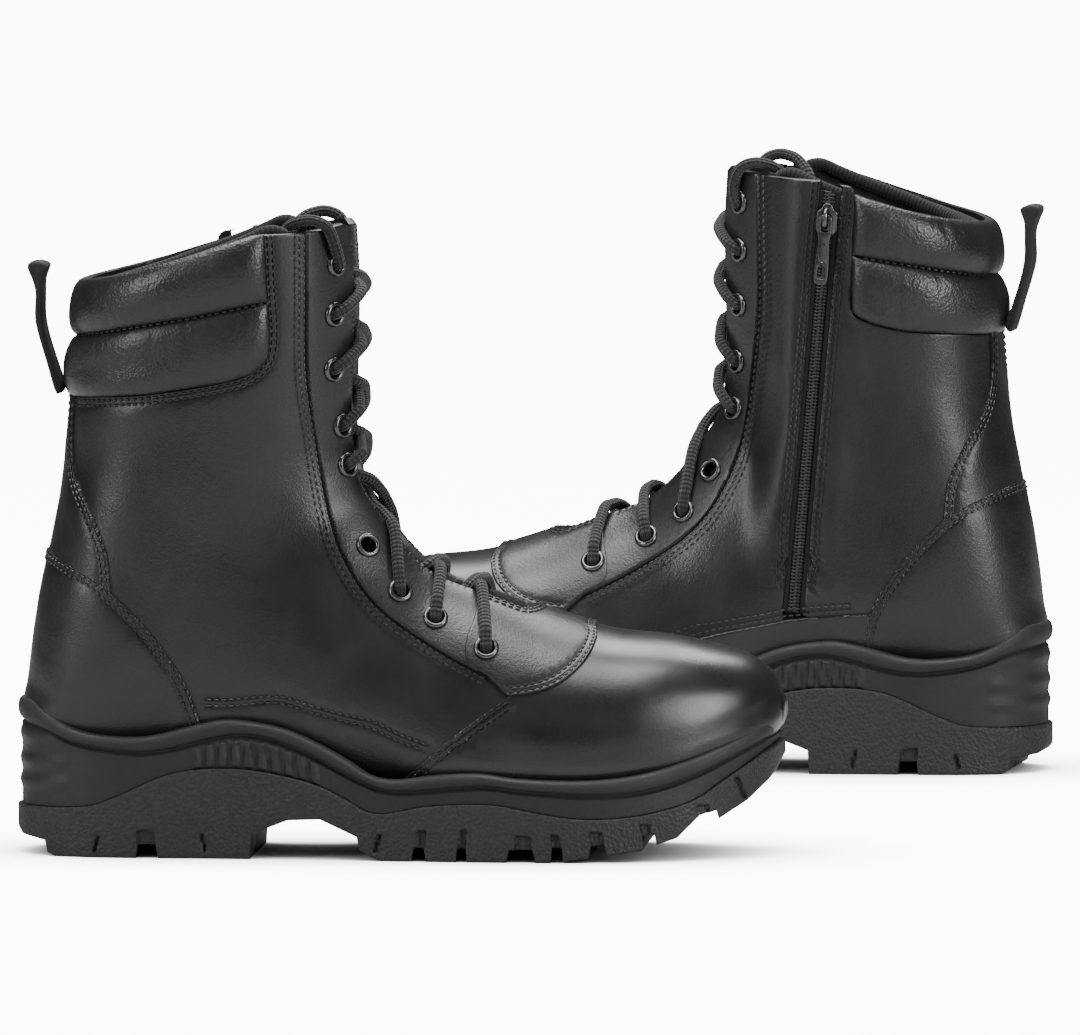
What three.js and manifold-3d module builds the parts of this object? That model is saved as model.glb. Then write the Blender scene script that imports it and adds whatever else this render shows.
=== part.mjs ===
// Two laced leather safety boots with a padded collar, a side zip and a cleated sole.
// Millimetres, +Z up. Each boot is drawn in its own frame: heel at X = 0, toe towards +X,
// outer side towards -Y, inner (zip) side towards +Y, ground at Z = 0.
import * as THREE from "three";
import { mergeVertices } from "three/addons/utils/BufferGeometryUtils.js";
import Module from "manifold-3d";

const wasm = await Module();
wasm.setup();

// Driving dimensions.
const BOOT_LENGTH = 308;
const BOOT_WIDTH = 110;
const BOOT_HEIGHT = 253;
const GAP = 0.3;
const LEATHER = 1.8;
const OVERLAY = 1.5;
const STIFFENER = 1.2;
const LINING = 1.2;
const BOARD = 2.2;
const FOOTBED = 5;
const SHANK = 1.5;
const SHANK_WIDTH = 16;
const BEAD_PROUD = 1.5;
const THROAT_GAP = 28;
const TONGUE = 3.5;
const LACE_DIAMETER = 5;
const LACE_SIDES = 6;
const EYELET_BORE = 6.2;
const EYELET_SIDES = 6;
const EYELET_WALL = 1.1;
const EYELET_PROUD = 0.8;
const STAY = 0.9;
const ROLL_BULGE = 4.5;
const ZIP_CHANNEL = 14;
const COIL_WIDTH = 4.6;
const COIL_THICKNESS = 2;
const TAPE_THICKNESS = 0.8;
const SLIDER_LENGTH = 13;
const SLIDER_WIDTH = 9;
const PULLER_LENGTH = 30;
const PULLER_WIDTH = 6;
const PULLER_THICKNESS = 1.4;
const WEBBING_WIDTH = 18;
const FRONT_BOOT = { x: 0, y: 0, turn: -4 };
const REAR_BOOT = { x: 424, y: 408, turn: 171 };

// The outlines below are the base pattern; a pattern is graded to the boot's own size.
const PATTERN = { length: 308, width: 110, height: 253 };
const along = (x) => (x * BOOT_LENGTH) / PATTERN.length;
const across = (y) => (y * BOOT_WIDTH) / PATTERN.width;
const up = (z) => (z * BOOT_HEIGHT) / PATTERN.height;
const graded = (points) => points.map(([x, z]) => [along(x), up(z)]);

// Stations of the last, toe to top: back or bottom point, front or top point, half width,
// height share of the widest place, fullness of the lower and of the upper half, sideways shift.
const STATIONS = [
  [304, 53, 306, 63, 11, 0.5, 2.4, 2.2, 9],
  [300, 48, 303, 71, 19, 0.42, 2.8, 2.2, 8.5],
  [288, 40, 292, 79, 32, 0.36, 3, 2.2, 7.5],
  [266, 31, 266, 86, 44, 0.32, 3.2, 2.2, 5],
  [236, 27, 238, 89.5, 50.5, 0.28, 3.2, 2.1, 2],
  [204, 26.5, 212, 97, 50, 0.28, 3.2, 2, 0],
  [172, 27, 190, 106, 46.5, 0.3, 3.2, 2, -1],
  [138, 31, 171, 114, 43, 0.34, 3, 2, -1],
  [100, 42, 158, 125, 40.5, 0.42, 2.9, 2.1, 0],
  [60, 41, 149, 138, 39.5, 0.5, 2.9, 2.1, 0],
  [28, 41, 143, 149, 39.5, 0.5, 3, 2.1, 0],
  [11, 48, 139.5, 158, 39.8, 0.5, 3, 2.2, 0],
  [6.6, 62, 138, 168, 40.2, 0.5, 2.8, 2.2, 0],
  [8.2, 86, 137.3, 180, 41, 0.5, 2.6, 2.2, 0],
  [12.5, 112, 137, 192, 42, 0.5, 2.4, 2.3, 0],
  [19, 144, 137, 206, 43.5, 0.5, 2.3, 2.3, 0],
  [22, 172, 137, 222, 45, 0.5, 2.3, 2.3, 0],
  [24.5, 200, 136.5, 238, 46.5, 0.5, 2.3, 2.3, 0],
  [28, 230, 135, 256, 48, 0.5, 2.3, 2.3, 0],
  [32, 262, 133.5, 284, 49, 0.5, 2.3, 2.3, 0],
].map(([bx, bz, fx, fz, half, middle, low, top, shift]) => [
  along(bx), up(bz), along(fx), up(fz), across(half), middle, low, top, across(shift),
]);
const LAST_STATION = STATIONS.length - 1;
const AROUND = 10;
const RINGS = [0, 1, 2, 3, 4.2, 5.2, 6, 7, 8, 9.5, 11, 12.5, 14.5, 16.5, LAST_STATION];
const SEGMENT = (2 * Math.PI) / AROUND;

const lerp = THREE.MathUtils.lerp;
const clamp = THREE.MathUtils.clamp;

// One value of the stations at a fractional station number, on a smooth curve.
function between(s, column) {
  const i = clamp(Math.floor(s), 0, LAST_STATION - 1);
  const at = (k) => STATIONS[clamp(k, 0, LAST_STATION)][column];
  const f = s - i;
  const slope0 = (at(i + 1) - at(i - 1)) / 2;
  const slope1 = (at(i + 2) - at(i)) / 2;
  const rise = at(i + 1) - at(i);
  const bend = 3 * rise - 2 * slope0 - slope1;
  return at(i) + f * (slope0 + f * (bend + f * (slope0 + slope1 - 2 * rise)));
}

// A point of the last's surface: s runs from the toe to the top, phi turns round from the front
// (0) over the inner side to the back (pi) and home over the outer side.
function surface(s, phi) {
  const [bx, bz, fx, fz, half, middle, low, top, shift] = STATIONS[0].map((_, k) => between(s, k));
  const c = Math.cos(phi);
  const y = Math.sin(phi);
  const power = 2 / (c < 0 ? low : top);
  const reach = Math.sign(c) * Math.abs(c) ** power;
  const t = middle + reach * (c < 0 ? middle : 1 - middle);
  return new THREE.Vector3(
    lerp(bx, fx, t),
    shift + half * Math.sign(y) * Math.abs(y) ** power,
    lerp(bz, fz, t),
  );
}

// The surface moved outwards by an offset along its normal.
function offsetPoint(s, phi, offset) {
  const step = 0.04;
  const point = surface(s, phi);
  const alongS = surface(Math.min(s + step, LAST_STATION), phi).sub(surface(Math.max(s - step, 0), phi));
  const aroundS = surface(s, phi + step).sub(surface(s, phi - step));
  return point.addScaledVector(aroundS.cross(alongS).normalize(), offset);
}

// The flat-faceted skin of the solids at an offset: stations and turns between its corners.
function skin(s, phi, offset) {
  let k = 1;
  while (k < RINGS.length - 1 && s > RINGS[k]) k++;
  const down = (s - RINGS[k - 1]) / (RINGS[k] - RINGS[k - 1]);
  const left = Math.floor(phi / SEGMENT + 1e-6);
  const round = phi / SEGMENT - left;
  const corner = (ring, turn) => offsetPoint(RINGS[ring], turn * SEGMENT, offset);
  const lower = corner(k - 1, left).lerp(corner(k - 1, left + 1), round);
  const upper = corner(k, left).lerp(corner(k, left + 1), round);
  return lower.lerp(upper, down);
}

// Where a side view point lies: its station number and turn. side is +1 inner, -1 outer.
function locate(x, z, side) {
  let low = 0;
  let high = LAST_STATION;
  for (let round = 0; round < 40; round++) {
    const s = (low + high) / 2;
    const [bx, bz, fx, fz] = [0, 1, 2, 3].map((k) => between(s, k));
    const turn = (fx - bx) * (z - bz) - (fz - bz) * (x - bx);
    if (turn > 0) low = s;
    else high = s;
  }
  const [bx, bz, fx, fz, , middle, lowPower, topPower] = STATIONS[0].map((_, k) => between(low, k));
  const length2 = (fx - bx) ** 2 + (fz - bz) ** 2;
  const t = ((x - bx) * (fx - bx) + (z - bz) * (fz - bz)) / length2;
  const reach = t < middle ? (t - middle) / middle : (t - middle) / (1 - middle);
  const power = (t < middle ? lowPower : topPower) / 2;
  const phi = Math.acos(Math.sign(reach) * clamp(Math.abs(reach), 0, 1) ** power);
  return { s: low, phi: side > 0 ? phi : -phi };
}

// The station at which a turn line meets a side view line given as height over X.
function stationOn(phi, height) {
  let low = 8;
  let high = LAST_STATION;
  for (let round = 0; round < 30; round++) {
    const s = (low + high) / 2;
    const p = surface(s, phi);
    if (p.z < height(p.x)) low = s;
    else high = s;
  }
  return low;
}

// A straight line through side view points, as height over X, carried on at both ends.
function heightLine(points) {
  return (x) => {
    let k = 1;
    while (k < points.length - 1 && x > points[k][0]) k++;
    const [x0, z0] = points[k - 1];
    const [x1, z1] = points[k];
    return z0 + ((z1 - z0) * (x - x0)) / (x1 - x0);
  };
}

// Solids.
function solidOf(geometry) {
  const bare = geometry.clone();
  bare.deleteAttribute("normal");
  bare.deleteAttribute("uv");
  const merged = mergeVertices(bare, 1e-4);
  return new wasm.Manifold(
    new wasm.Mesh({
      numProp: 3,
      vertProperties: new Float32Array(merged.attributes.position.array),
      triVerts: new Uint32Array(merged.index.array),
    }),
  );
}

function geometryOf(solid) {
  const mesh = solid.getMesh();
  const geometry = new THREE.BufferGeometry();
  geometry.setAttribute("position", new THREE.BufferAttribute(mesh.vertProperties, 3));
  geometry.setIndex(new THREE.BufferAttribute(mesh.triVerts, 1));
  geometry.computeVertexNormals();
  return geometry;
}

// A closed geometry from points and triangles, turned to face outwards.
function closedGeometry(points, faces) {
  let volume = 0;
  for (const [a, b, c] of faces) {
    volume += points[a].dot(new THREE.Vector3().crossVectors(points[b], points[c]));
  }
  const index = volume < 0 ? faces.map(([a, b, c]) => [a, c, b]) : faces;
  const geometry = new THREE.BufferGeometry().setFromPoints(points);
  geometry.setIndex(index.flat());
  return geometry;
}

// The whole last as one solid, offset outwards by a distance.
function lastSolid(offset) {
  const points = [];
  const faces = [];
  const lastRing = RINGS.length - 1;
  for (const s of RINGS) {
    for (let j = 0; j < AROUND; j++) points.push(offsetPoint(s, j * SEGMENT, offset));
  }
  for (let i = 0; i < lastRing; i++) {
    for (let j = 0; j < AROUND; j++) {
      const a = i * AROUND + j;
      const b = i * AROUND + ((j + 1) % AROUND);
      faces.push([a, b, b + AROUND], [a, b + AROUND, a + AROUND]);
    }
  }
  for (const [row, flip] of [[0, true], [lastRing, false]]) {
    const ring = points.slice(row * AROUND, (row + 1) * AROUND);
    const centre = ring.reduce((sum, p) => sum.add(p), new THREE.Vector3()).divideScalar(AROUND);
    points.push(centre);
    for (let j = 0; j < AROUND; j++) {
      const a = row * AROUND + j;
      const b = row * AROUND + ((j + 1) % AROUND);
      faces.push(flip ? [b, a, points.length - 1] : [a, b, points.length - 1]);
    }
  }
  return solidOf(closedGeometry(points, faces));
}

// The wall of the last between two offsets.
const wall = (outer, inner) => lastSolid(outer).subtract(lastSolid(inner));

// A plate over a grid: at(u, v, face) gives the point for face 0 (inner) or 1 (outer).
function plateSolid(columns, rows, at) {
  const points = [];
  const faces = [];
  const number = (i, j, face) => (face * (rows + 1) + j) * (columns + 1) + i;
  for (const face of [0, 1]) {
    for (let j = 0; j <= rows; j++) {
      for (let i = 0; i <= columns; i++) points.push(at(i / columns, j / rows, face));
    }
  }
  const quad = (a, b, c, d) => faces.push([a, b, c], [a, c, d]);
  for (let j = 0; j < rows; j++) {
    for (let i = 0; i < columns; i++) {
      quad(number(i, j, 1), number(i + 1, j, 1), number(i + 1, j + 1, 1), number(i, j + 1, 1));
      quad(number(i, j, 0), number(i, j + 1, 0), number(i + 1, j + 1, 0), number(i + 1, j, 0));
    }
    quad(number(0, j, 0), number(0, j, 1), number(0, j + 1, 1), number(0, j + 1, 0));
    quad(number(columns, j, 1), number(columns, j, 0), number(columns, j + 1, 0), number(columns, j + 1, 1));
  }
  for (let i = 0; i < columns; i++) {
    quad(number(i, 0, 1), number(i, 0, 0), number(i + 1, 0, 0), number(i + 1, 0, 1));
    quad(number(i, rows, 0), number(i, rows, 1), number(i + 1, rows, 1), number(i + 1, rows, 0));
  }
  return solidOf(closedGeometry(points, faces));
}

function shapeOf(points) {
  return new THREE.Shape(points.map(([x, y]) => new THREE.Vector2(x, y)));
}

// A side view outline made into a block from y0 to y1.
function sideBlock(points, y0, y1) {
  const geometry = new THREE.ExtrudeGeometry(shapeOf(points), { depth: y1 - y0, bevelEnabled: false });
  return solidOf(geometry.rotateX(Math.PI / 2).translate(0, y1, 0));
}

// A plan outline made into a block from z0 to z1.
function planBlock(points, z0, z1) {
  const geometry = new THREE.ExtrudeGeometry(shapeOf(points), { depth: z1 - z0, bevelEnabled: false });
  return solidOf(geometry.translate(0, 0, z0));
}

// An outline grown outwards by a distance along its corner normals.
function grown(points, distance) {
  const area = THREE.ShapeUtils.area(points.map(([x, y]) => new THREE.Vector2(x, y)));
  const sign = Math.sign(area);
  return points.map(([x, y], k) => {
    const [px, py] = points[(k + points.length - 1) % points.length];
    const [nx, ny] = points[(k + 1) % points.length];
    const before = new THREE.Vector2(y - py, px - x).normalize();
    const after = new THREE.Vector2(ny - y, x - nx).normalize();
    const corner = before.clone().add(after).normalize();
    const reach = (sign * distance) / Math.max(0.5, corner.dot(after));
    return [x + corner.x * reach, y + corner.y * reach];
  });
}

// Side view outlines of the upper. Those that lie over one another share their lines.
const WIDE = 90;
const FEATHER = graded([
  [-20, 43.5], [28, 43.5], [60, 43.5], [100, 44.5], [138, 34], [172, 29.8], [204, 29.3], [236, 29.8],
  [266, 34], [288, 43], [300, 51], [320, 64],
]);
const BEAD_TOP = graded([
  [-10, 62], [6, 62], [15, 56], [27, 50.6], [43, 48.4], [57, 49], [73, 53], [86, 55.6], [99, 54.6], [111, 52],
  [123, 47], [136, 40], [145, 34.4], [155, 32.6], [172, 34.6], [189, 35.4], [206, 33.4], [232, 32.8],
  [254, 35], [275, 40.6], [296, 49.7], [305, 56.6], [315, 62],
]);
const FACING_REAR = graded([
  [118.6, 300], [118.6, 197], [121, 173], [127, 138], [135.7, 116], [149, 99], [171, 84], [192, 73],
  [200.4, 65.6],
]);
const VAMP_EDGE = graded([
  [152, 10], [157, 32.4], [180, 51], [200.4, 65.6], [205, 80], [207, 100], [207, 140],
]);
const COLLAR_TOP = graded([[28, 229.6], [50, 234], [71, 240], [86, 245], [99, 249.4]]);
const COLLAR_PINCH = graded([[23, 207], [50, 212], [76, 216.7], [102, 222.4]]);
const COLLAR_BOTTOM = graded([[24, 186], [60, 188.5], [86, 193], [102, 197]]);
const COUNTER_TOP = graded([[15, 121], [33.7, 112], [52.8, 95], [70.7, 70], [78.6, 50]]);
const STAY_EDGE = graded([[26, 184], [25, 165], [26.5, 150], [33.6, 136.5], [39.3, 122], [40.5, 109]]);
const FOXING_TOP = graded([[72, 67], [104, 64.5], [111, 63.5], [151, 54], [168, 42]]);
const COLLAR_FRONT_X = along(102);
const TOP_LINE = graded([[90, 250], [118, 250.4], [126, 251.2], [131, 253.4], [140, 253]]);
const FAR = 400;

const farRight = (points) => [along(FAR), points.at(-1)[1]];
const aboveFeather = sideBlock(
  [...FEATHER.toReversed(), [-FAR, FEATHER[0][1]], [-FAR, FAR], [FAR, FAR], [FAR, FEATHER.at(-1)[1]]],
  -WIDE, WIDE,
);
const aboveBead = sideBlock(
  [...BEAD_TOP.toReversed(), [-FAR, BEAD_TOP[0][1]], [-FAR, FAR], [FAR, FAR], farRight(BEAD_TOP)],
  -WIDE, WIDE,
);
const facingOutline = [
  ...FACING_REAR.slice(0, -2), ...graded([[180, 79.6], [184, 92], [186, 130], [180, 300]]),
];
const laceZone = [...FACING_REAR, ...graded([[205, 80], [207, 100], [212, 130], [180, 300]])];
const APRON_FRONT = graded([
  [200.4, 65.6], [211, 67], [221, 70.6], [230, 78], [234, 86], [232, 94], [232, 140],
]);
const apronOutline = [...APRON_FRONT, ...graded([[188, 130], [186, 92], [183, 78], [192, 73.2]])];
const vampOutline = [...VAMP_EDGE, [FAR, up(140)], [FAR, up(10)]];
const collarOutline = [
  ...COLLAR_BOTTOM, [COLLAR_FRONT_X, FAR], [-FAR, FAR], [-FAR, COLLAR_BOTTOM[0][1]],
];
const counterOutline = [...COUNTER_TOP, [-FAR, COUNTER_TOP.at(-1)[1]], [-FAR, COUNTER_TOP[0][1]]];
const stayOutline = [...STAY_EDGE, [-FAR, STAY_EDGE.at(-1)[1]], [-FAR, STAY_EDGE[0][1]]];
const throatOutline = graded([
  [209, 130], [209, 90], [196, 88], [170, 98], [150, 112], [128, 140], [120, 170], [120, 300], [170, 300],
  [170, 160],
]);

// The zip runs along a straight line on the inner side.
const zipEnd = (x, z) => {
  const { s, phi } = locate(along(x), up(z), 1);
  return surface(s, phi);
};
const ZIP_BOTTOM = zipEnd(104, 67);
const ZIP_TOP = zipEnd(87, 248);
const zipDirection = ZIP_TOP.clone().sub(ZIP_BOTTOM).normalize();
const zipLength = ZIP_TOP.distanceTo(ZIP_BOTTOM);
const zipOut = new THREE.Vector3(0, 1, 0).addScaledVector(zipDirection, -zipDirection.y).normalize();
const zipForward = new THREE.Vector3().crossVectors(zipOut, zipDirection);

// A block in the zip's own frame: forward, out and along ranges.
function zipBlock([f0, f1], [o0, o1], [a0, a1]) {
  const geometry = new THREE.BoxGeometry(f1 - f0, o1 - o0, a1 - a0);
  geometry.translate((f0 + f1) / 2, (o0 + o1) / 2, (a0 + a1) / 2);
  const frame = new THREE.Matrix4().makeBasis(zipForward, zipOut, zipDirection).setPosition(ZIP_BOTTOM);
  return solidOf(geometry.applyMatrix4(frame));
}
const zipChannel = zipBlock([-ZIP_CHANNEL / 2, ZIP_CHANNEL / 2], [-20, 25], [0, zipLength + 60]);

// Upper, base layer.
const innerHalf = sideBlock([[-FAR, -FAR], [FAR, -FAR], [FAR, FAR], [-FAR, FAR]], GAP / 2, WIDE);
const outerHalf = sideBlock([[-FAR, -FAR], [FAR, -FAR], [FAR, FAR], [-FAR, FAR]], -WIDE, -GAP / 2);
const throat = sideBlock(throatOutline, -THROAT_GAP / 2, THROAT_GAP / 2);
const belowTop = sideBlock(
  [...TOP_LINE, [FAR, TOP_LINE.at(-1)[1]], [FAR, -FAR], [-FAR, -FAR], [-FAR, TOP_LINE[0][1]]],
  -WIDE, WIDE,
);
const collarRoom = sideBlock(grown(collarOutline, GAP), -WIDE, WIDE);
const vampBlock = sideBlock(vampOutline, -WIDE, WIDE);
const vampRoom = sideBlock(grown(vampOutline, GAP), -WIDE, WIDE);
const leather = wall(0, -LEATHER).intersect(aboveFeather).subtract(throat);
const quarters = leather.subtract(vampRoom).subtract(sideBlock(grown(laceZone, GAP), -WIDE, WIDE))
  .intersect(belowTop);
const collarRoomInner = collarRoom.intersect(zipBlock([-FAR, 0], [-FAR, FAR], [-FAR, FAR]));

// Eyelets: side view centres from the toe end to the top.
const EYELETS = {
  outer: [[191, 83.6], [170.3, 95.4], [155.7, 106], [142.3, 124], [133, 156], [131, 172], [128, 195],
    [128.4, 217], [129, 237]],
  inner: [[189, 86.5], [167, 97], [151, 108], [140, 125], [130.5, 151], [129, 171], [127.6, 195],
    [127, 218], [126.6, 238]],
};
const UNLACED = 3;
const eyeletPlaces = Object.fromEntries(
  Object.entries(EYELETS).map(([side, centres]) => [
    side,
    graded(centres).map(([x, z]) => locate(x, z, side === "inner" ? 1 : -1)),
  ]),
);
const eyeletOuter = EYELET_BORE / 2 + EYELET_WALL;
const stayOuter = -LEATHER - GAP;
const flangeTop = OVERLAY + GAP + EYELET_PROUD;

// A ring or a plug standing on the surface at a place, between two offsets.
function standing({ s, phi }, profile) {
  const foot = skin(s, phi, 0);
  const normal = skin(s, phi, 1).sub(foot).normalize();
  const turn = new THREE.Quaternion().setFromUnitVectors(new THREE.Vector3(0, 1, 0), normal);
  const outline = profile.map(([r, h]) => new THREE.Vector2(r / Math.cos(Math.PI / EYELET_SIDES), h));
  const geometry = new THREE.LatheGeometry(outline, EYELET_SIDES);
  return solidOf(geometry.applyQuaternion(turn).translate(foot.x, foot.y, foot.z));
}
const ring = (place, inner, outer, low, high) =>
  standing(place, [[inner, low], [outer, low], [outer, high], [inner, high], [inner, low]]);
const plug = (place, radius, low, high) =>
  standing(place, [[0, low], [radius, low], [radius, high], [0, high]]);

const unite = (solids) => solids.reduce((sum, solid) => sum.add(solid));
const punches = Object.fromEntries(
  Object.entries(eyeletPlaces).map(([side, places]) => [
    side,
    unite(places.map((place) => plug(place, eyeletOuter + GAP, -LEATHER - 3, flangeTop + 3))),
  ]),
);

// The hidden strip that backs a row of eyelets, and the eyelets set in it.
const stripOutline = [
  ...FACING_REAR.map(([x, z]) => [x + along(3.5), z + up(2)]).slice(0, -1),
  ...graded([[203, 82], [204, 88], [212, 130], [180, 300]]),
];
const stripLayer = wall(stayOuter, stayOuter - STAY).intersect(sideBlock(stripOutline, -WIDE, WIDE))
  .subtract(sideBlock(throatOutline, -THROAT_GAP / 2 - 1, THROAT_GAP / 2 + 1))
  .intersect(sideBlock([[0, 0], [FAR, 0], [FAR, up(246)], [0, up(246)]], -WIDE, WIDE));
function eyeletRow(side, half) {
  const strip = stripLayer.intersect(half);
  const seatRadius = EYELET_BORE / 2 + EYELET_WALL / 2;
  const barrelFoot = stayOuter - STAY - GAP;
  const seats = unite(eyeletPlaces[side].map((p) => plug(p, seatRadius, stayOuter - 4, 0)));
  const rings = eyeletPlaces[side].map((p) => ring(p, EYELET_BORE / 2, eyeletOuter, barrelFoot, flangeTop));
  return unite([strip.subtract(seats), ...rings]);
}

// Collar rolls: padded tubes round the back from the outer front edge to the zip.
const rollTurn = { from: locate(along(101.5), up(222), -1).phi, to: locate(along(75.5), up(222), 1).phi };
function collarRoll(lowLine, highLine, bulge) {
  const start = rollTurn.from + 2 * Math.PI;
  const low = heightLine(lowLine);
  const high = heightLine(highLine);
  const turns = [start];
  for (let k = Math.ceil(start / SEGMENT) - 1; k * SEGMENT > rollTurn.to; k--) turns.push(k * SEGMENT);
  turns.push(rollTurn.to);
  return plateSolid(2 * (turns.length - 1), 4, (u, v, face) => {
    const place = u * (turns.length - 1);
    const k = Math.min(Math.floor(place), turns.length - 2);
    const phi = lerp(turns[k], turns[k + 1], place - k);
    const ends = Math.min(1, Math.sin(Math.PI * u) / 0.2);
    const s0 = stationOn(phi, (x) => low(x) + GAP);
    const s1 = stationOn(phi, (x) => high(x) - GAP);
    const round = Math.sqrt(Math.max(0, 1 - (2 * v - 1) ** 2));
    const offset = face ? 0.5 + bulge * round * (0.55 + 0.45 * ends) : -LEATHER;
    return skin(lerp(s0, s1, v), phi, offset);
  });
}

// Tongue: a padded strip behind the lacing.
const tongueOuter = stayOuter - STAY - 4 * GAP - LACE_DIAMETER - 12 * GAP;
const TONGUE_TURN = 1.6 * SEGMENT;
const TONGUE_SPAN = [4.9, 17.3];
const tongueSolid = plateSolid(4, 10, (u, v, face) => {
  const phi = lerp(-TONGUE_TURN, TONGUE_TURN, u);
  const s = lerp(TONGUE_SPAN[0], TONGUE_SPAN[1], v);
  return skin(s, phi, face ? tongueOuter : tongueOuter - TONGUE);
});

// Laces.
const LACE_OUT = flangeTop + LACE_DIAMETER / 2 + 5 * GAP;
const LACE_EDGE = OVERLAY + LACE_DIAMETER / 2 + 13 * GAP;
const LACE_IN = stayOuter - STAY - 4 * GAP - LACE_DIAMETER / 2;
class LaceLine extends THREE.Curve {
  constructor(points) {
    super();
    this.points = points;
  }
  getPoint(t) {
    const place = t * (this.points.length - 1);
    const i = clamp(Math.floor(place), 0, this.points.length - 2);
    return this.points[i].clone().lerp(this.points[i + 1], place - i);
  }
  getPointAt(t) {
    return this.getPoint(t);
  }
  getTangentAt(t) {
    const step = 0.5 / (this.points.length - 1);
    const ahead = this.getPoint(Math.min(1, t + step));
    return ahead.sub(this.getPoint(Math.max(0, t - step))).normalize();
  }
}
// How far round from the front the edge of a facing lies, as a share of an eyelet's turn.
function edgeShare({ s, phi }) {
  let turn = 0;
  while (Math.abs(surface(s, turn).y - surface(s, 0).y) < THROAT_GAP / 2) turn += 0.01;
  return turn / Math.abs(phi);
}
function strand(from, to, over) {
  const at = (f, offset) => skin(lerp(from.s, to.s, f), lerp(from.phi, to.phi, f), offset);
  const near = 0.5 - edgeShare(from) / 2;
  const far = edgeShare(to) / 2;
  const middle = over
    ? [at(0.5, LACE_EDGE), at(0.5 + 0.4 * far, LACE_EDGE - 1), at(0.5 + 0.9 * far, LACE_IN)]
    : [at(0.5, -2), at(0.5 + 0.75 * far, LACE_IN)];
  const beyondBend = (phi) => Math.abs(phi) > 1.1 * SEGMENT;
  const bendOut = beyondBend(from.phi) ? [at(0.5 - SEGMENT / Math.abs(2 * from.phi), LACE_OUT)] : [];
  const bendIn = beyondBend(to.phi) ? [at(0.5 + SEGMENT / Math.abs(2 * to.phi), LACE_IN)] : [];
  return [at(0, LACE_IN), at(0, LACE_OUT), ...bendOut, at(near, LACE_EDGE), ...middle, ...bendIn];
}
function halfLace(firstSide) {
  const other = { outer: "inner", inner: "outer" };
  const rows = [...EYELETS.outer.keys()].filter((row) => row !== UNLACED);
  const points = [];
  let side = firstSide;
  rows.slice(0, -1).forEach((row, k) => {
    const from = eyeletPlaces[side][row];
    const to = eyeletPlaces[other[side]][rows[k + 1]];
    points.push(...strand(from, to, (k + (firstSide === "outer" ? 1 : 0)) % 2 === 0));
    side = other[side];
  });
  const top = eyeletPlaces[side][rows.at(-1)];
  const turn = side === "inner" ? 1 : -1;
  const tail = [
    [128, 247, LACE_OUT], [124, 254, 2], [120, 254.6, -6], [116, 252, tongueOuter - 3],
    [114, 240, tongueOuter - TONGUE - 4], [113, 205, tongueOuter - TONGUE - 4],
    [113, 180, tongueOuter - TONGUE - 4],
  ].map(([x, z, offset]) => {
    const place = locate(along(x), up(z), turn);
    return skin(place.s, place.phi, offset);
  });
  return [...points, skin(top.s, top.phi, LACE_IN), skin(top.s, top.phi, LACE_OUT), ...tail];
}
function laceSolid() {
  const start = eyeletPlaces.outer[0].s;
  const bar = [-SEGMENT, 0, SEGMENT].map((phi) => skin(start, phi, LACE_IN));
  const line = new LaceLine([...halfLace("outer").reverse(), ...bar, ...halfLace("inner")]);
  const corners = Array.from({ length: LACE_SIDES }, (_, k) => {
    const turn = (2 * Math.PI * k) / LACE_SIDES;
    return [(Math.cos(turn) * LACE_DIAMETER) / 2, (Math.sin(turn) * LACE_DIAMETER) / 2];
  });
  return solidOf(
    new THREE.ExtrudeGeometry(shapeOf(corners), { steps: line.points.length - 1, extrudePath: line }),
  );
}

// Sole. Plan outline from the heel round the outer side to the toe and back.
const SOLE_PLAN = [
  [0.3, 0], [2, -13], [7, -24], [20, -34.5], [42, -40.5], [75, -42], [105, -44], [138, -48], [172, -52],
  [204, -54.5], [236, -53.5], [266, -45], [288, -30.5], [302, -14], [308, 3], [308, 14], [302, 31],
  [288, 44.5], [266, 53], [236, 56.5], [204, 54.5], [172, 50], [138, 46.5], [105, 44], [75, 42], [42, 40.5],
  [20, 34.5], [7, 24], [2, 13],
].map(([x, y]) => [along(x), across(y)]);
const BEAD_GROOVE = graded([
  [-10, 56], [11, 51], [26, 45.6], [45, 42.5], [62, 43], [92, 49.5], [115, 44.4], [140, 32], [156, 27.6],
  [189, 30], [206, 28.4], [232, 26.8], [254, 28], [275, 34], [296, 44], [320, 56],
]);
const WAVE = graded([
  [-10, 19.5], [27, 20], [41, 23.6], [66, 34], [91, 36], [112, 33], [126, 29], [136, 24], [148, 18.7],
  [168, 22], [193, 23], [211, 20], [227, 17.6], [243, 17.6], [259, 19.7], [275, 24.5], [288, 33], [320, 54],
]);
const TREAD = graded([
  [-10, 19], [0.3, 18.6], [9.6, 8.5], [15, 0], [48.7, 0], [50, 7], [60.5, 7], [61.8, 0], [96.7, 0],
  [97.4, 10], [112, 15.7], [125, 16.3], [140, 9.5], [141, 4.5], [145, 2], [150, 0], [162, 0], [163, 5.5], [167, 5.5],
  [168, 0], [180, 0], [180.4, 5.5], [184, 5.5], [184.4, 0], [200, 0], [203, 5.5], [211, 5.5], [213, 0],
  [218, 0.2], [218.5, 6], [222.5, 6], [223, 0.7], [231, 1.7], [234, 7], [240, 7.4], [241, 2.9], [254, 4.7],
  [254.4, 10.5], [259, 11.4], [260, 7], [268, 9.6], [276, 17.5], [283, 20], [284, 16.5], [295, 23.4],
  [303, 31], [310, 44],
]);
const planBody = planBlock(grown(SOLE_PLAN, -BEAD_PROUD), -5, FAR);
const planFull = planBlock(SOLE_PLAN, -5, FAR);
const lastRoom = lastSolid(GAP);
const beadBlock = sideBlock([...BEAD_GROOVE, ...BEAD_TOP.toReversed()], -WIDE, WIDE);
const midsoleFoot = WAVE.map(([x, z]) => [x, z + GAP]);
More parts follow.
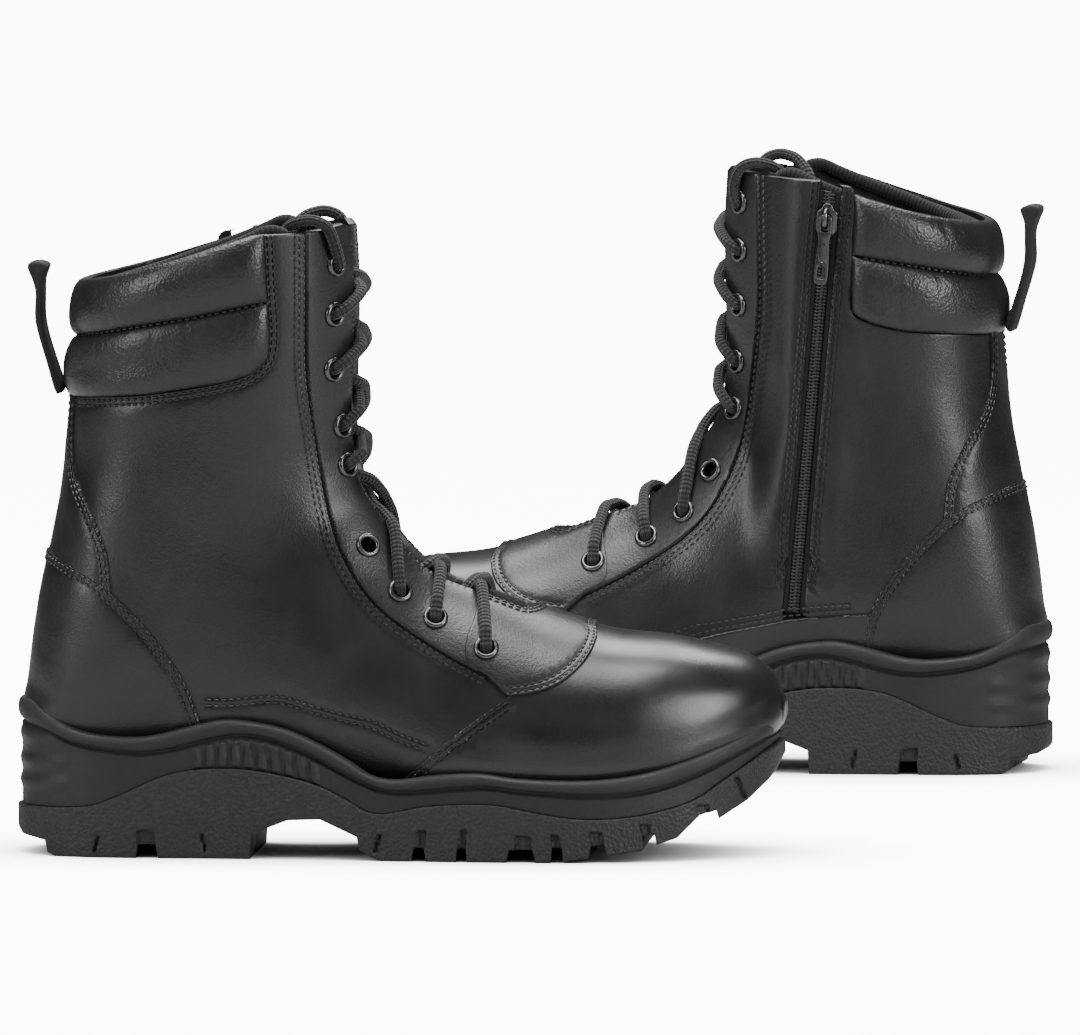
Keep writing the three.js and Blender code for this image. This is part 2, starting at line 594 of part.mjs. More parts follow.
const midsoleBlock = sideBlock([...midsoleFoot, ...BEAD_TOP.toReversed()], -WIDE, WIDE);
const outsoleBlock = sideBlock([...TREAD, ...WAVE.toReversed()], -WIDE, WIDE);

// Bottom stack: bands that follow the floor of the last.
const FLOOR = RINGS.filter((ringStation) => ringStation < 10).reverse()
  .map((ringStation) => [between(ringStation, 0), between(ringStation, 1)]);
const floorHeight = heightLine(FLOOR);
const floorBand = (from, to) => [
  [along(-20), FLOOR[0][1] + from],
  ...FLOOR.map(([x, z]) => [x, z + from]),
  ...FLOOR.toReversed().map(([x, z]) => [x, z + to]),
  [along(-20), FLOOR[0][1] + to],
];
const SHANK_SPAN = [along(72), along(165)];
const BOARD_END = along(296);
const shankBand = (low, high) => {
  const corners = FLOOR.map(([x]) => x).filter((x) => x > SHANK_SPAN[0] && x < SHANK_SPAN[1]);
  const line = [SHANK_SPAN[0], ...corners, SHANK_SPAN[1]].map((x) => [x, floorHeight(x)]);
  return [...line.map(([x, z]) => [x, z + low]), ...line.toReversed().map(([x, z]) => [x, z + high])];
};
const shankTop = -3 * GAP;
const shankBlock = sideBlock(shankBand(shankTop - SHANK, shankTop), -SHANK_WIDTH / 2, SHANK_WIDTH / 2);
const shankPocket = sideBlock(
  grown(shankBand(shankTop - SHANK, 6), GAP), -SHANK_WIDTH / 2 - GAP, SHANK_WIDTH / 2 + GAP,
);

// Slider and puller in the zip's frame, at the closed end.
const SLIDER_AT = zipLength - 22;
const coilTop = COIL_THICKNESS / 2;
const plateBottom = coilTop + 2 * GAP;
const PULLER_PIN = 1.1;
const pinOut = plateBottom + 1.2 + 1.6 + PULLER_PIN;
function sliderSolid() {
  const half = SLIDER_WIDTH / 2;
  const end = SLIDER_AT + SLIDER_LENGTH;
  const plate = zipBlock([-half, half], [plateBottom, plateBottom + 1.2], [SLIDER_AT, end]);
  const post = (a) => zipBlock([-1, 1], [plateBottom, pinOut + 2.6], [a, a + 1.6]);
  const bridge = zipBlock([-1, 1], [pinOut + 1.6, pinOut + 2.6], [SLIDER_AT + 3, SLIDER_AT + 11.6]);
  const flange = (f0, f1) => zipBlock([f0, f1], [GAP, plateBottom + 1.2], [SLIDER_AT + 1, end - 1]);
  return unite([
    plate,
    post(SLIDER_AT + 3),
    post(SLIDER_AT + 10),
    bridge,
    flange(-half, -half + 0.9),
    flange(half - 0.9, half),
  ]);
}
function pullerSolid() {
  const half = PULLER_WIDTH / 2;
  const thick = PULLER_THICKNESS / 2;
  const plate = zipBlock(
    [-half, half], [pinOut - thick, pinOut + thick],
    [SLIDER_AT + 9 - PULLER_LENGTH, SLIDER_AT + 8.4],
  );
  const eye = zipBlock([-1.6, 1.6], [pinOut - 3, pinOut + 3], [SLIDER_AT + 1.6, SLIDER_AT + 6.2]);
  const slot = zipBlock([-1.6, 1.6], [pinOut - 3, pinOut + 3], [SLIDER_AT - 8, SLIDER_AT + 6.6]);
  return plate.subtract(slot).subtract(eye);
}

// Pull loop: doubled webbing sewn at the foot of the collar, its fold open at the top.
const LOOP = graded([
  [19.2, 184], [15.6, 184], [12.6, 196], [9.6, 206], [8, 214], [8.4, 225], [6, 231], [6.4, 234.6],
  [10, 235.6], [14.6, 234], [14.4, 231], [12, 225], [11.8, 214], [13.2, 206], [16, 197],
]);
const loopSolid = sideBlock(LOOP, -WEBBING_WIDTH / 2, WEBBING_WIDTH / 2);

const BLACK_LEATHER = { color: 0x16161a, roughness: 0.42, metalness: 0 };
const RUBBER = { color: 0x1b1b1d, roughness: 0.8, metalness: 0 };
const TEXTILE = { color: 0x1e1e20, roughness: 0.95, metalness: 0 };
const DARK_METAL = { color: 0x2a2a2e, roughness: 0.3, metalness: 1 };
const STEEL = { color: 0x8c8f94, roughness: 0.4, metalness: 1 };
const BOARD_FIBRE = { color: 0x6b5a44, roughness: 0.9, metalness: 0 };

const facingBlock = sideBlock(facingOutline, -WIDE, WIDE);
const overlay = wall(GAP + OVERLAY, GAP).intersect(aboveBead);
const thick = wall(GAP + OVERLAY, -LEATHER).intersect(aboveBead).subtract(throat).intersect(belowTop);
const facing = thick.intersect(facingBlock);
const apronBlock = sideBlock(apronOutline, -WIDE, WIDE);
const apronRoom = sideBlock(grown(apronOutline, GAP), -WIDE, WIDE);
const counterBlock = sideBlock(counterOutline, -WIDE, WIDE);
const counterRoom = sideBlock(grown(counterOutline, GAP), -WIDE, WIDE);
const foxingBlock = sideBlock(
  [...FOXING_TOP, [FOXING_TOP.at(-1)[0], 0], [FOXING_TOP[0][0], 0]], 0, WIDE,
);
const stiffener = wall(stayOuter, stayOuter - STIFFENER).intersect(aboveFeather);
const heelCup = sideBlock(graded([[-20, 104], [20, 104], [40, 92], [60, 70], [66, 46], [66, 0], [-20, 0]]),
  -WIDE, WIDE);
const toeBlock = sideBlock(graded([[256, 0], [256, 140], [340, 140], [340, 0]]), -WIDE, WIDE);
const eyeletRoom = sideBlock(grown(laceZone, eyeletOuter / 2), -WIDE, WIDE);
const liningOuter = stayOuter - STIFFENER - GAP;
const liningTop = sideBlock(
  [[-FAR, -FAR], [FAR, -FAR], ...graded([[118, 252], [99, 247], [71, 237.6], [28, 227], [0, 220]]),
    [-FAR, up(220)]],
  -WIDE, WIDE,
);
const boardBlock = sideBlock(floorBand(-6, BOARD - GAP), -WIDE, WIDE)
  .intersect(sideBlock([[-FAR, -FAR], [BOARD_END, -FAR], [BOARD_END, FAR], [-FAR, FAR]], -WIDE, WIDE));
const footbedBlock = sideBlock(floorBand(-6, BOARD + LINING + FOOTBED + 2), -WIDE, WIDE);
const zipHalf = COIL_WIDTH / 2 + GAP;
const channelHalf = ZIP_CHANNEL / 2 - GAP;
const zipSpan = [GAP, zipLength - 4];

const midsole = midsoleBlock.intersect(planBody).add(beadBlock.intersect(planFull))
  .subtract(lastRoom).subtract(shankPocket);
const SUBPARTS = [
  ["outsole", RUBBER, outsoleBlock.intersect(planFull)],
  ["midsole", RUBBER, midsole],
  ["shank", STEEL, shankBlock],
  ["insole_board", BOARD_FIBRE, lastSolid(0).intersect(boardBlock)],
  ["footbed", TEXTILE, lastSolid(liningOuter - LINING - GAP).intersect(footbedBlock)],
  ["lining", TEXTILE, wall(liningOuter, liningOuter - LINING).intersect(liningTop)
    .subtract(eyeletRoom).subtract(zipChannel)],
  ["toe_cap", STEEL, stiffener.intersect(toeBlock)],
  ["heel_stiffener", BOARD_FIBRE, stiffener.intersect(heelCup)],
  ["vamp", BLACK_LEATHER, leather.intersect(vampBlock).subtract(apronRoom)],
  ["outer_quarter", BLACK_LEATHER, quarters.intersect(outerHalf).subtract(collarRoom)],
  ["inner_front_quarter", BLACK_LEATHER, quarters.intersect(innerHalf)
    .intersect(zipBlock([GAP, FAR], [-FAR, FAR], [-FAR, FAR])).subtract(zipChannel)],
  ["inner_rear_quarter", BLACK_LEATHER, quarters.intersect(innerHalf).subtract(collarRoomInner)
    .intersect(zipBlock([-FAR, -GAP], [-FAR, FAR], [-FAR, FAR])).subtract(zipChannel)],
  ["inner_foxing", BLACK_LEATHER, overlay.intersect(foxingBlock).subtract(counterRoom).subtract(zipChannel)],
  ["heel_counter", BLACK_LEATHER, overlay.intersect(counterBlock)],
  ["back_stay", BLACK_LEATHER, overlay.intersect(sideBlock(stayOutline, -WIDE, WIDE)).subtract(counterRoom)],
  ["pull_loop", TEXTILE, loopSolid],
  ["collar_upper_roll", BLACK_LEATHER, collarRoll(COLLAR_PINCH, COLLAR_TOP, ROLL_BULGE)],
  ["collar_lower_roll", BLACK_LEATHER, collarRoll(COLLAR_BOTTOM, COLLAR_PINCH, ROLL_BULGE * 0.8)],
  ["outer_facing", BLACK_LEATHER, facing.intersect(outerHalf).subtract(punches.outer)],
  ["inner_facing", BLACK_LEATHER, facing.intersect(innerHalf).subtract(punches.inner)],
  ["apron", BLACK_LEATHER, thick.intersect(apronBlock).subtract(punches.outer).subtract(punches.inner)],
  ["outer_eyelets", DARK_METAL, eyeletRow("outer", outerHalf)],
  ["inner_eyelets", DARK_METAL, eyeletRow("inner", innerHalf)],
  ["tongue", TEXTILE, tongueSolid],
  ["lace", TEXTILE, laceSolid()],
  ["zip_tape_front", TEXTILE, zipBlock([zipHalf, channelHalf], [-TAPE_THICKNESS, 0], zipSpan)],
  ["zip_tape_rear", TEXTILE, zipBlock([-channelHalf, -zipHalf], [-TAPE_THICKNESS, 0], zipSpan)],
  ["zip_coil", DARK_METAL, zipBlock([-COIL_WIDTH / 2, COIL_WIDTH / 2], [-coilTop, coilTop], zipSpan)],
  ["zip_slider", DARK_METAL, sliderSolid()],
  ["zip_puller", DARK_METAL, pullerSolid()],
];

// One whole boot, its sub-parts named with the boot's own prefix.
function boot(prefix, { x, y, turn }) {
  const group = new THREE.Group();
  for (const [name, finish, solid] of SUBPARTS) {
    const mesh = new THREE.Mesh(geometryOf(solid), new THREE.MeshStandardMaterial(finish));
    mesh.name = `${prefix}_${name}`;
    group.add(mesh);
  }
  group.position.set(x, y, 0);
  group.rotation.z = THREE.MathUtils.degToRad(turn);
  return group;
}

const boots = new THREE.Group();
boots.add(boot("front", FRONT_BOOT), boot("rear", REAR_BOOT));
boots.updateMatrixWorld(true);
const box = new THREE.Box3().setFromObject(boots, true);
const centre = box.getCenter(new THREE.Vector3());
boots.position.set(-centre.x, -centre.y, -box.min.z);

export default boots;
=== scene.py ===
"""Two laced leather safety boots with a side zip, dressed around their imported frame."""

import logging
import math
from collections.abc import Callable, Iterable
from dataclasses import dataclass, field
from enum import Enum

import bpy
import numpy as np
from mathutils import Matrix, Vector, kdtree
from mathutils.geometry import delaunay_2d_cdt


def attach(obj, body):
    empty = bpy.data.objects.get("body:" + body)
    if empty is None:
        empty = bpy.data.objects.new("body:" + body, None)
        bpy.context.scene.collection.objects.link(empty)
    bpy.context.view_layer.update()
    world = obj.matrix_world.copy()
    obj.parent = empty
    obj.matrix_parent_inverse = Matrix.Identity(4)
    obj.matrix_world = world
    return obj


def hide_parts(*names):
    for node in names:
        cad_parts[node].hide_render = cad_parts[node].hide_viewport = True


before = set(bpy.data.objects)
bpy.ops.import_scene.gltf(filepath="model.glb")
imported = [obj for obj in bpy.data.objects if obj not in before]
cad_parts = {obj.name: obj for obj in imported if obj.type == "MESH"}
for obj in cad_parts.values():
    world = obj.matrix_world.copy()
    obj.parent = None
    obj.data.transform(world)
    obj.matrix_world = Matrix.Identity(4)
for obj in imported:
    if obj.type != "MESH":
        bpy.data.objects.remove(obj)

LOG = logging.getLogger("boots")
MM = 0.001
Array = np.ndarray

STATIONS = np.array([
    [304, 53, 306, 63, 11, 0.5, 2.4, 2.2, 9],
    [300, 48, 303, 71, 19, 0.42, 2.8, 2.2, 8.5],
    [288, 40, 292, 79, 32, 0.36, 3, 2.2, 7.5],
    [266, 31, 266, 86, 44, 0.32, 3.2, 2.2, 5],
    [236, 27, 238, 89.5, 50.5, 0.28, 3.2, 2.1, 2],
    [204, 26.5, 212, 97, 50, 0.28, 3.2, 2, 0],
    [172, 27, 190, 106, 46.5, 0.3, 3.2, 2, -1],
    [138, 31, 171, 114, 43, 0.34, 3, 2, -1],
    [100, 42, 158, 125, 40.5, 0.42, 2.9, 2.1, 0],
    [60, 41, 149, 138, 39.5, 0.5, 2.9, 2.1, 0],
    [28, 41, 143, 149, 39.5, 0.5, 3, 2.1, 0],
    [11, 48, 139.5, 158, 39.8, 0.5, 3, 2.2, 0],
    [6.6, 62, 138, 168, 40.2, 0.5, 2.8, 2.2, 0],
    [8.2, 86, 137.3, 180, 41, 0.5, 2.6, 2.2, 0],
    [12.5, 112, 137, 192, 42, 0.5, 2.4, 2.3, 0],
    [19, 144, 137, 206, 43.5, 0.5, 2.3, 2.3, 0],
    [22, 172, 137, 222, 45, 0.5, 2.3, 2.3, 0],
    [24.5, 200, 136.5, 238, 46.5, 0.5, 2.3, 2.3, 0],
    [28, 230, 135, 256, 48, 0.5, 2.3, 2.3, 0],
    [32, 262, 133.5, 284, 49, 0.5, 2.3, 2.3, 0],
])


class Side(Enum):
    """Which side of a boot a line lies on."""

    OUTER = -1
    INNER = 1


def unit(vectors: Array) -> Array:
    """Scales vectors to length one.

    Args:
        vectors: Any number of 3-D vectors.

    Returns:
        The unit vectors.
    """
    return vectors / np.maximum(np.linalg.norm(vectors, axis=-1, keepdims=True), 1e-9)


def lengths_of(line: Array) -> Array:
    """Measures how far along a line each of its points lies.

    Args:
        line: Points of the line.

    Returns:
        The distances from its start.
    """
    return np.concatenate([[0], np.cumsum(np.linalg.norm(np.diff(line, axis=0), axis=1))])


def between(p0: Array, p1: Array, p2: Array, p3: Array, share: Array | float) -> Array:
    """Reads a smooth curve through four values, from the second to the third.

    Args:
        p0: The value before.
        p1: The value that the stretch starts at.
        p2: The value that it ends at.
        p3: The value after.
        share: How far along the stretch, from 0 to 1.

    Returns:
        The values there.
    """
    slope1, slope2, rise = (p2 - p0) / 2, (p3 - p1) / 2, p2 - p1
    bend = 3 * rise - 2 * slope1 - slope2 + share * (slope1 + slope2 - 2 * rise)
    return p1 + share * (slope1 + share * bend)


def resample(line: Array, step: float, curved: bool = True) -> Array:
    """Spaces points evenly along a line, through its corners.

    Args:
        line: Points of the line.
        step: Distance between the new points.
        curved: Whether the line bends smoothly through its points.

    Returns:
        The evenly spaced points.
    """
    line = np.asarray(line, float)
    if curved and len(line) > 2:
        ends = [2 * line[0] - line[1], 2 * line[-1] - line[-2]]
        full = np.vstack([ends[0], line, ends[1]])
        dense = []
        for k in range(len(line) - 1):
            dense.extend(between(*full[k:k + 4], share) for share in np.linspace(0, 1, 9)[:-1])
        line = np.array(dense + [line[-1]])
    lengths = lengths_of(line)
    count = max(2, int(round(lengths[-1] / step)) + 1)
    at = np.linspace(0, lengths[-1], count)
    return np.stack([np.interp(at, lengths, line[:, k]) for k in range(line.shape[1])], axis=1)


def rotation_frames(path: Array) -> tuple[Array, Array]:
    """Finds two directions across a path that turn as little as they can.

    Args:
        path: Points of the path.

    Returns:
        The two directions at each point.
    """
    tangents = unit(np.gradient(path, axis=0))
    across = np.zeros_like(path)
    first = np.cross(tangents[0], [0.3, 0.2, 1.0])
    across[0] = first / np.linalg.norm(first)
    for k in range(1, len(path)):
        vector = across[k - 1] - tangents[k] * np.dot(across[k - 1], tangents[k])
        across[k] = vector / max(np.linalg.norm(vector), 1e-9)
    return across, np.cross(tangents, across)


@dataclass
class Last:
    """The shape that the upper is built on: stations from the toe to the top.

    Lengths are in millimetres in the boot's own frame, heel at X 0 and toe towards +X.
    """

    rows: Array = field(default_factory=lambda: STATIONS.copy())

    @property
    def end(self) -> int:
        """The number of the top station."""
        return len(self.rows) - 1

    def profile(self, s: Array) -> Array:
        """Reads the stations' values between stations on a smooth curve.

        Args:
            s: Station numbers, which may be fractions.

        Returns:
            The nine station values for each.
        """
        s = np.clip(np.asarray(s, float), 0, self.end)
        i = np.clip(np.floor(s).astype(int), 0, self.end - 1)
        around = (self.rows[np.clip(i + k, 0, self.end)] for k in (-1, 0, 1, 2))
        return between(*around, (s - i)[:, None])

    def surface(self, s: Array, phi: Array) -> Array:
        """Gives points of the surface.

        Args:
            s: Station numbers.
            phi: Turns round from the front over the inner side, in radians.

        Returns:
            The points.
        """
        bx, bz, fx, fz, half, middle, low, top, shift = self.profile(s).T
        c, y = np.cos(phi), np.sin(phi)
        power = 2 / np.where(c < 0, low, top)
        reach = np.sign(c) * np.abs(c) ** power
        t = middle + reach * np.where(c < 0, middle, 1 - middle)
        across = shift + half * np.sign(y) * np.abs(y) ** power
        return np.stack([bx + (fx - bx) * t, across, bz + (fz - bz) * t], axis=1)

    def slopes(self, s: Array, phi: Array) -> tuple[Array, Array]:
        """Gives how the surface runs along the stations and round the turn.

        Args:
            s: Station numbers.
            phi: Turns.

        Returns:
            The change per station and the change per radian.
        """
        step = 0.04
        low, high = np.maximum(s - step, 0), np.minimum(s + step, self.end)
        along = (self.surface(high, phi) - self.surface(low, phi)) / (high - low)[:, None]
        around = (self.surface(s, phi + step) - self.surface(s, phi - step)) / (2 * step)
        return along, around

    def normal(self, s: Array, phi: Array) -> Array:
        """Gives the outward directions of the surface.

        Args:
            s: Station numbers.
            phi: Turns.

        Returns:
            Unit vectors.
        """
        along, around = self.slopes(s, phi)
        return unit(np.cross(around, along))

    def place(self, s: Array, phi: Array, offset: Array | float) -> Array:
        """Gives points moved off the surface.

        Args:
            s: Station numbers.
            phi: Turns.
            offset: Distance outwards.

        Returns:
            The points.
        """
        s, phi = np.atleast_1d(np.asarray(s, float)), np.atleast_1d(np.asarray(phi, float))
        lift = np.broadcast_to(np.asarray(offset, float), s.shape)[:, None]
        return self.surface(s, phi) + self.normal(s, phi) * lift

    def locate(self, line: Iterable, side: Side) -> Array:
        """Finds where side view points lie on the surface.

        Args:
            line: Points as X and Z.
            side: The boot's side they are seen on.

        Returns:
            Station number and turn of each point.
        """
        x, z = np.array(list(line), float).T
        low, high = np.zeros_like(x), np.full_like(x, self.end)
        for _ in range(40):
            s = (low + high) / 2
            bx, bz, fx, fz = self.profile(s).T[:4]
            above = (fx - bx) * (z - bz) - (fz - bz) * (x - bx) > 0
            low, high = np.where(above, s, low), np.where(above, high, s)
        bx, bz, fx, fz, _, middle, lower, upper, _ = self.profile(low).T
        t = ((x - bx) * (fx - bx) + (z - bz) * (fz - bz)) / ((fx - bx) ** 2 + (fz - bz) ** 2)
        reach = np.where(t < middle, (t - middle) / middle, (t - middle) / (1 - middle))
        power = np.where(t < middle, lower, upper) / 2
        phi = np.arccos(np.sign(reach) * np.clip(np.abs(reach), 0, 1) ** power)
        return np.stack([low, side.value * phi], axis=1)

    def stepped(self, s: Array, phi: Array, along: Array, around: Array, move: Array) -> Array:
        """Moves places over the surface.

        Args:
            s: Station numbers.
            phi: Turns.
            along: The surface's change per station.
            around: The surface's change per radian.
            move: Small moves along the surface.

        Returns:
            Station number and turn of the new places.
        """
        aa, ab, bb = (along * along).sum(1), (along * around).sum(1), (around * around).sum(1)
        ma, mb = (move * along).sum(1), (move * around).sum(1)
        det = np.maximum(aa * bb - ab * ab, 1e-6)
        ds, dphi = (ma * bb - mb * ab) / det, (mb * aa - ma * ab) / det
        return np.stack([np.clip(s + ds, 0, self.end), phi + dphi], axis=1)

    def shifted(self, line: Array, distance: float) -> Array:
        """Moves a line sideways over the surface by a real distance.

        Args:
            line: Station number and turn of each point.
            distance: Millimetres to the left of the line's run.

        Returns:
            The moved line.
        """
        s, phi = line.T
        along, around = self.slopes(s, phi)
        tangent = unit(np.gradient(self.surface(s, phi), axis=0))
        move = np.cross(unit(np.cross(around, along)), tangent) * distance
        return self.stepped(s, phi, along, around, move)

    def chart(self, line: Array) -> Array:
        """Lays surface places out flat, roughly in millimetres.

        Args:
            line: Station number and turn of each point.

        Returns:
            Flat points.
        """
        spans = np.linalg.norm(np.diff(self.rows[:, 0:4], axis=0), axis=1) / math.sqrt(2)
        lengths = np.concatenate([[0], np.cumsum(spans)])
        return np.stack([np.interp(line[:, 0], np.arange(len(lengths)), lengths), line[:, 1] * 44], axis=1)


LAST = Last()


@dataclass
class Body:
    """Vertices and faces of a piece in the boot's own frame, in millimetres."""

    points: list[Array] = field(default_factory=list)
    faces: list[tuple[int, ...]] = field(default_factory=list)
    maps: list[Array] = field(default_factory=list)
    count: int = 0

    def add(self, points: Array, faces: Iterable, uv: Array | None = None) -> None:
        """Adds vertices with their faces.

        Args:
            points: The new vertices.
            faces: Faces, counted from the first new vertex.
            uv: Flat coordinates of the vertices.
        """
        self.points.append(np.asarray(points, float))
        self.maps.append(np.zeros((len(points), 2)) if uv is None else uv)
        self.faces.extend(tuple(int(k) + self.count for k in face) for face in faces)
        self.count += len(points)

    def grid(self, points: Array, wrap: bool = False, caps: bool = False, flip: bool = False,
             uv: Array | None = None) -> None:
        """Adds a grid of vertices as quads.

        Args:
            points: Rows by columns by three.
            wrap: Whether the last column joins the first.
            caps: Whether the first and last rows are closed.
            flip: Whether the faces are turned over.
            uv: Flat coordinates, rows by columns by two.
        """
        rows, columns = points.shape[:2]
        faces = []
        for j in range(rows - 1):
            for i in range(columns if wrap else columns - 1):
                k = (i + 1) % columns
                quad = (j * columns + i, j * columns + k, (j + 1) * columns + k, (j + 1) * columns + i)
                faces.append(quad[::-1] if flip else quad)
        if caps:
            first = tuple(range(columns))
            last = tuple((rows - 1) * columns + i for i in range(columns))
            faces.extend([first if flip else first[::-1], last[::-1] if flip else last])
        self.add(points.reshape(-1, 3), faces, None if uv is None else uv.reshape(-1, 2))

    def tube(self, path: Array, radius: Array | float, sides: int = 12, flatten: float = 1.0) -> None:
        """Adds a round tube along a path, closed at its ends.

        Args:
            path: Centre points.
            radius: Radius, or one for each point.
            sides: Corners of the section.
            flatten: Height of the section over its width.
        """
        across, up = rotation_frames(path)
        turn = np.linspace(0, 2 * math.pi, sides, endpoint=False)
        size = np.broadcast_to(np.asarray(radius, float), (len(path),))[:, None, None]
        ring = (across[:, None] * np.cos(turn)[None, :, None]
                + up[:, None] * np.sin(turn)[None, :, None] * flatten)
        uv = np.stack(np.broadcast_arrays(lengths_of(path)[:, None], (turn / (2 * math.pi))[None, :]), axis=2)
        self.grid(path[:, None] + ring * size, wrap=True, caps=True, flip=False, uv=uv)


def inside(points: Array, loop: Array) -> Array:
    """Tells which flat points lie inside a closed loop.

    Args:
        points: Flat points.
        loop: Corners of the loop.

    Returns:
        True for each point inside.
    """
    x, y = points[:, 0], points[:, 1]
    found = np.zeros(len(points), bool)
    for (x0, y0), (x1, y1) in zip(loop, np.roll(loop, -1, axis=0)):
        if y0 == y1:
            continue
        crosses = (y0 > y) != (y1 > y)
        found ^= crosses & (x < (x1 - x0) * (y - y0) / (y1 - y0) + x0)
    return found


def distances(points: Array, targets: Array) -> Array:
    """Measures from each point to the nearest target point.

    Args:
        points: Points measured from.
        targets: Points measured to.

    Returns:
        The distances.
    """
    tree = kdtree.KDTree(len(targets))
    for k, target in enumerate(targets):
        tree.insert(Vector(target), k)
    tree.balance()
    return np.array([tree.find(Vector(p))[2] for p in points])


def flare(points: Array) -> Array:
    """Gives how far the leather stands out where it comes down to the sole's bead.

    Args:
        points: Points of the last's surface.

    Returns:
        Heights, zero well above the bead.
    """
    bead = np.array(BEAD_TOP)
    above = points[:, 2] - np.interp(points[:, 0], bead[:, 0], bead[:, 1])
    return 2.2 * np.clip(1 - above / 9, 0, 1) ** 1.5


def placket(points: Array) -> Array:
    """Gives how far the leather is lifted beside the zip, so that its edges lie level with the tapes.

    Args:
        points: Points of the last's surface.

    Returns:
        Moves outwards, zero away from the zip.
    """
    side_zip = Zip()
    axes = np.stack([side_zip.forward, side_zip.out, side_zip.up], axis=1)
    ahead, out, along = ((points - side_zip.foot) @ axes).T
    near = np.clip((26 - np.abs(ahead)) / 17, 0, 1)
    level = np.clip((along + 2) / 12, 0, 1) * (points[:, 1] > 0)
    lift = np.clip(0.9 - out, 0, 8) * near ** 2 * (3 - 2 * near) * level
    return lift[:, None] * side_zip.out


def filled(flat: Array, loops: list[Array]) -> tuple[Array, Array, list[list[int]]]:
    """Covers the inside of flat loops with triangles.

    Args:
        flat: Flat points, the loops' own points first and in order.
        loops: The outline, then the holes.

    Returns:
        The flat points used, the triangles, and the given points that each used one comes from.
    """
    edges, start = [], 0
    for loop in loops:
        edges.extend((start + k, start + (k + 1) % len(loop)) for k in range(len(loop)))
        start += len(loop)
    verts, _, tris, sources, _, _ = delaunay_2d_cdt([Vector(p) for p in flat], edges, [], 0, 1e-4, True)
    used = np.array([v[:] for v in verts])
    tris = np.array([t for t in tris if len(t) == 3])
    return used, tris[within(used[tris].mean(1), loops)], sources


def within(points: Array, loops: list[Array]) -> Array:
    """Tells which flat points lie inside an outline and outside its holes.

    Args:
        points: Flat points.
        loops: The outline, then the holes.

    Returns:
        True for each such point.
    """
    found = inside(points, loops[0])
    for hole in loops[1:]:
        found &= ~inside(points, hole)
    return found


def shell(body: Body, top: Array, bottom: Array, tris: Array, uv: Array | None = None) -> None:
    """Adds a closed shell between two faces with the same triangles.

    Args:
        body: The body that takes it.
        top: Points of the outer face.
        bottom: Points of the inner face.
        tris: Triangles of the outer face.
        uv: Flat coordinates of a face's points.
    """
    count = len(top)
    sides = {(t[k], t[(k + 1) % 3]): True for t in tris for k in range(3)}
    walls = [(j, i, i + count, j + count) for i, j in sides if (j, i) not in sides]
    maps = None if uv is None else np.vstack([uv, uv])
    body.add(np.vstack([top, bottom]), [*tris, *(tris[:, ::-1] + count), *walls], maps)


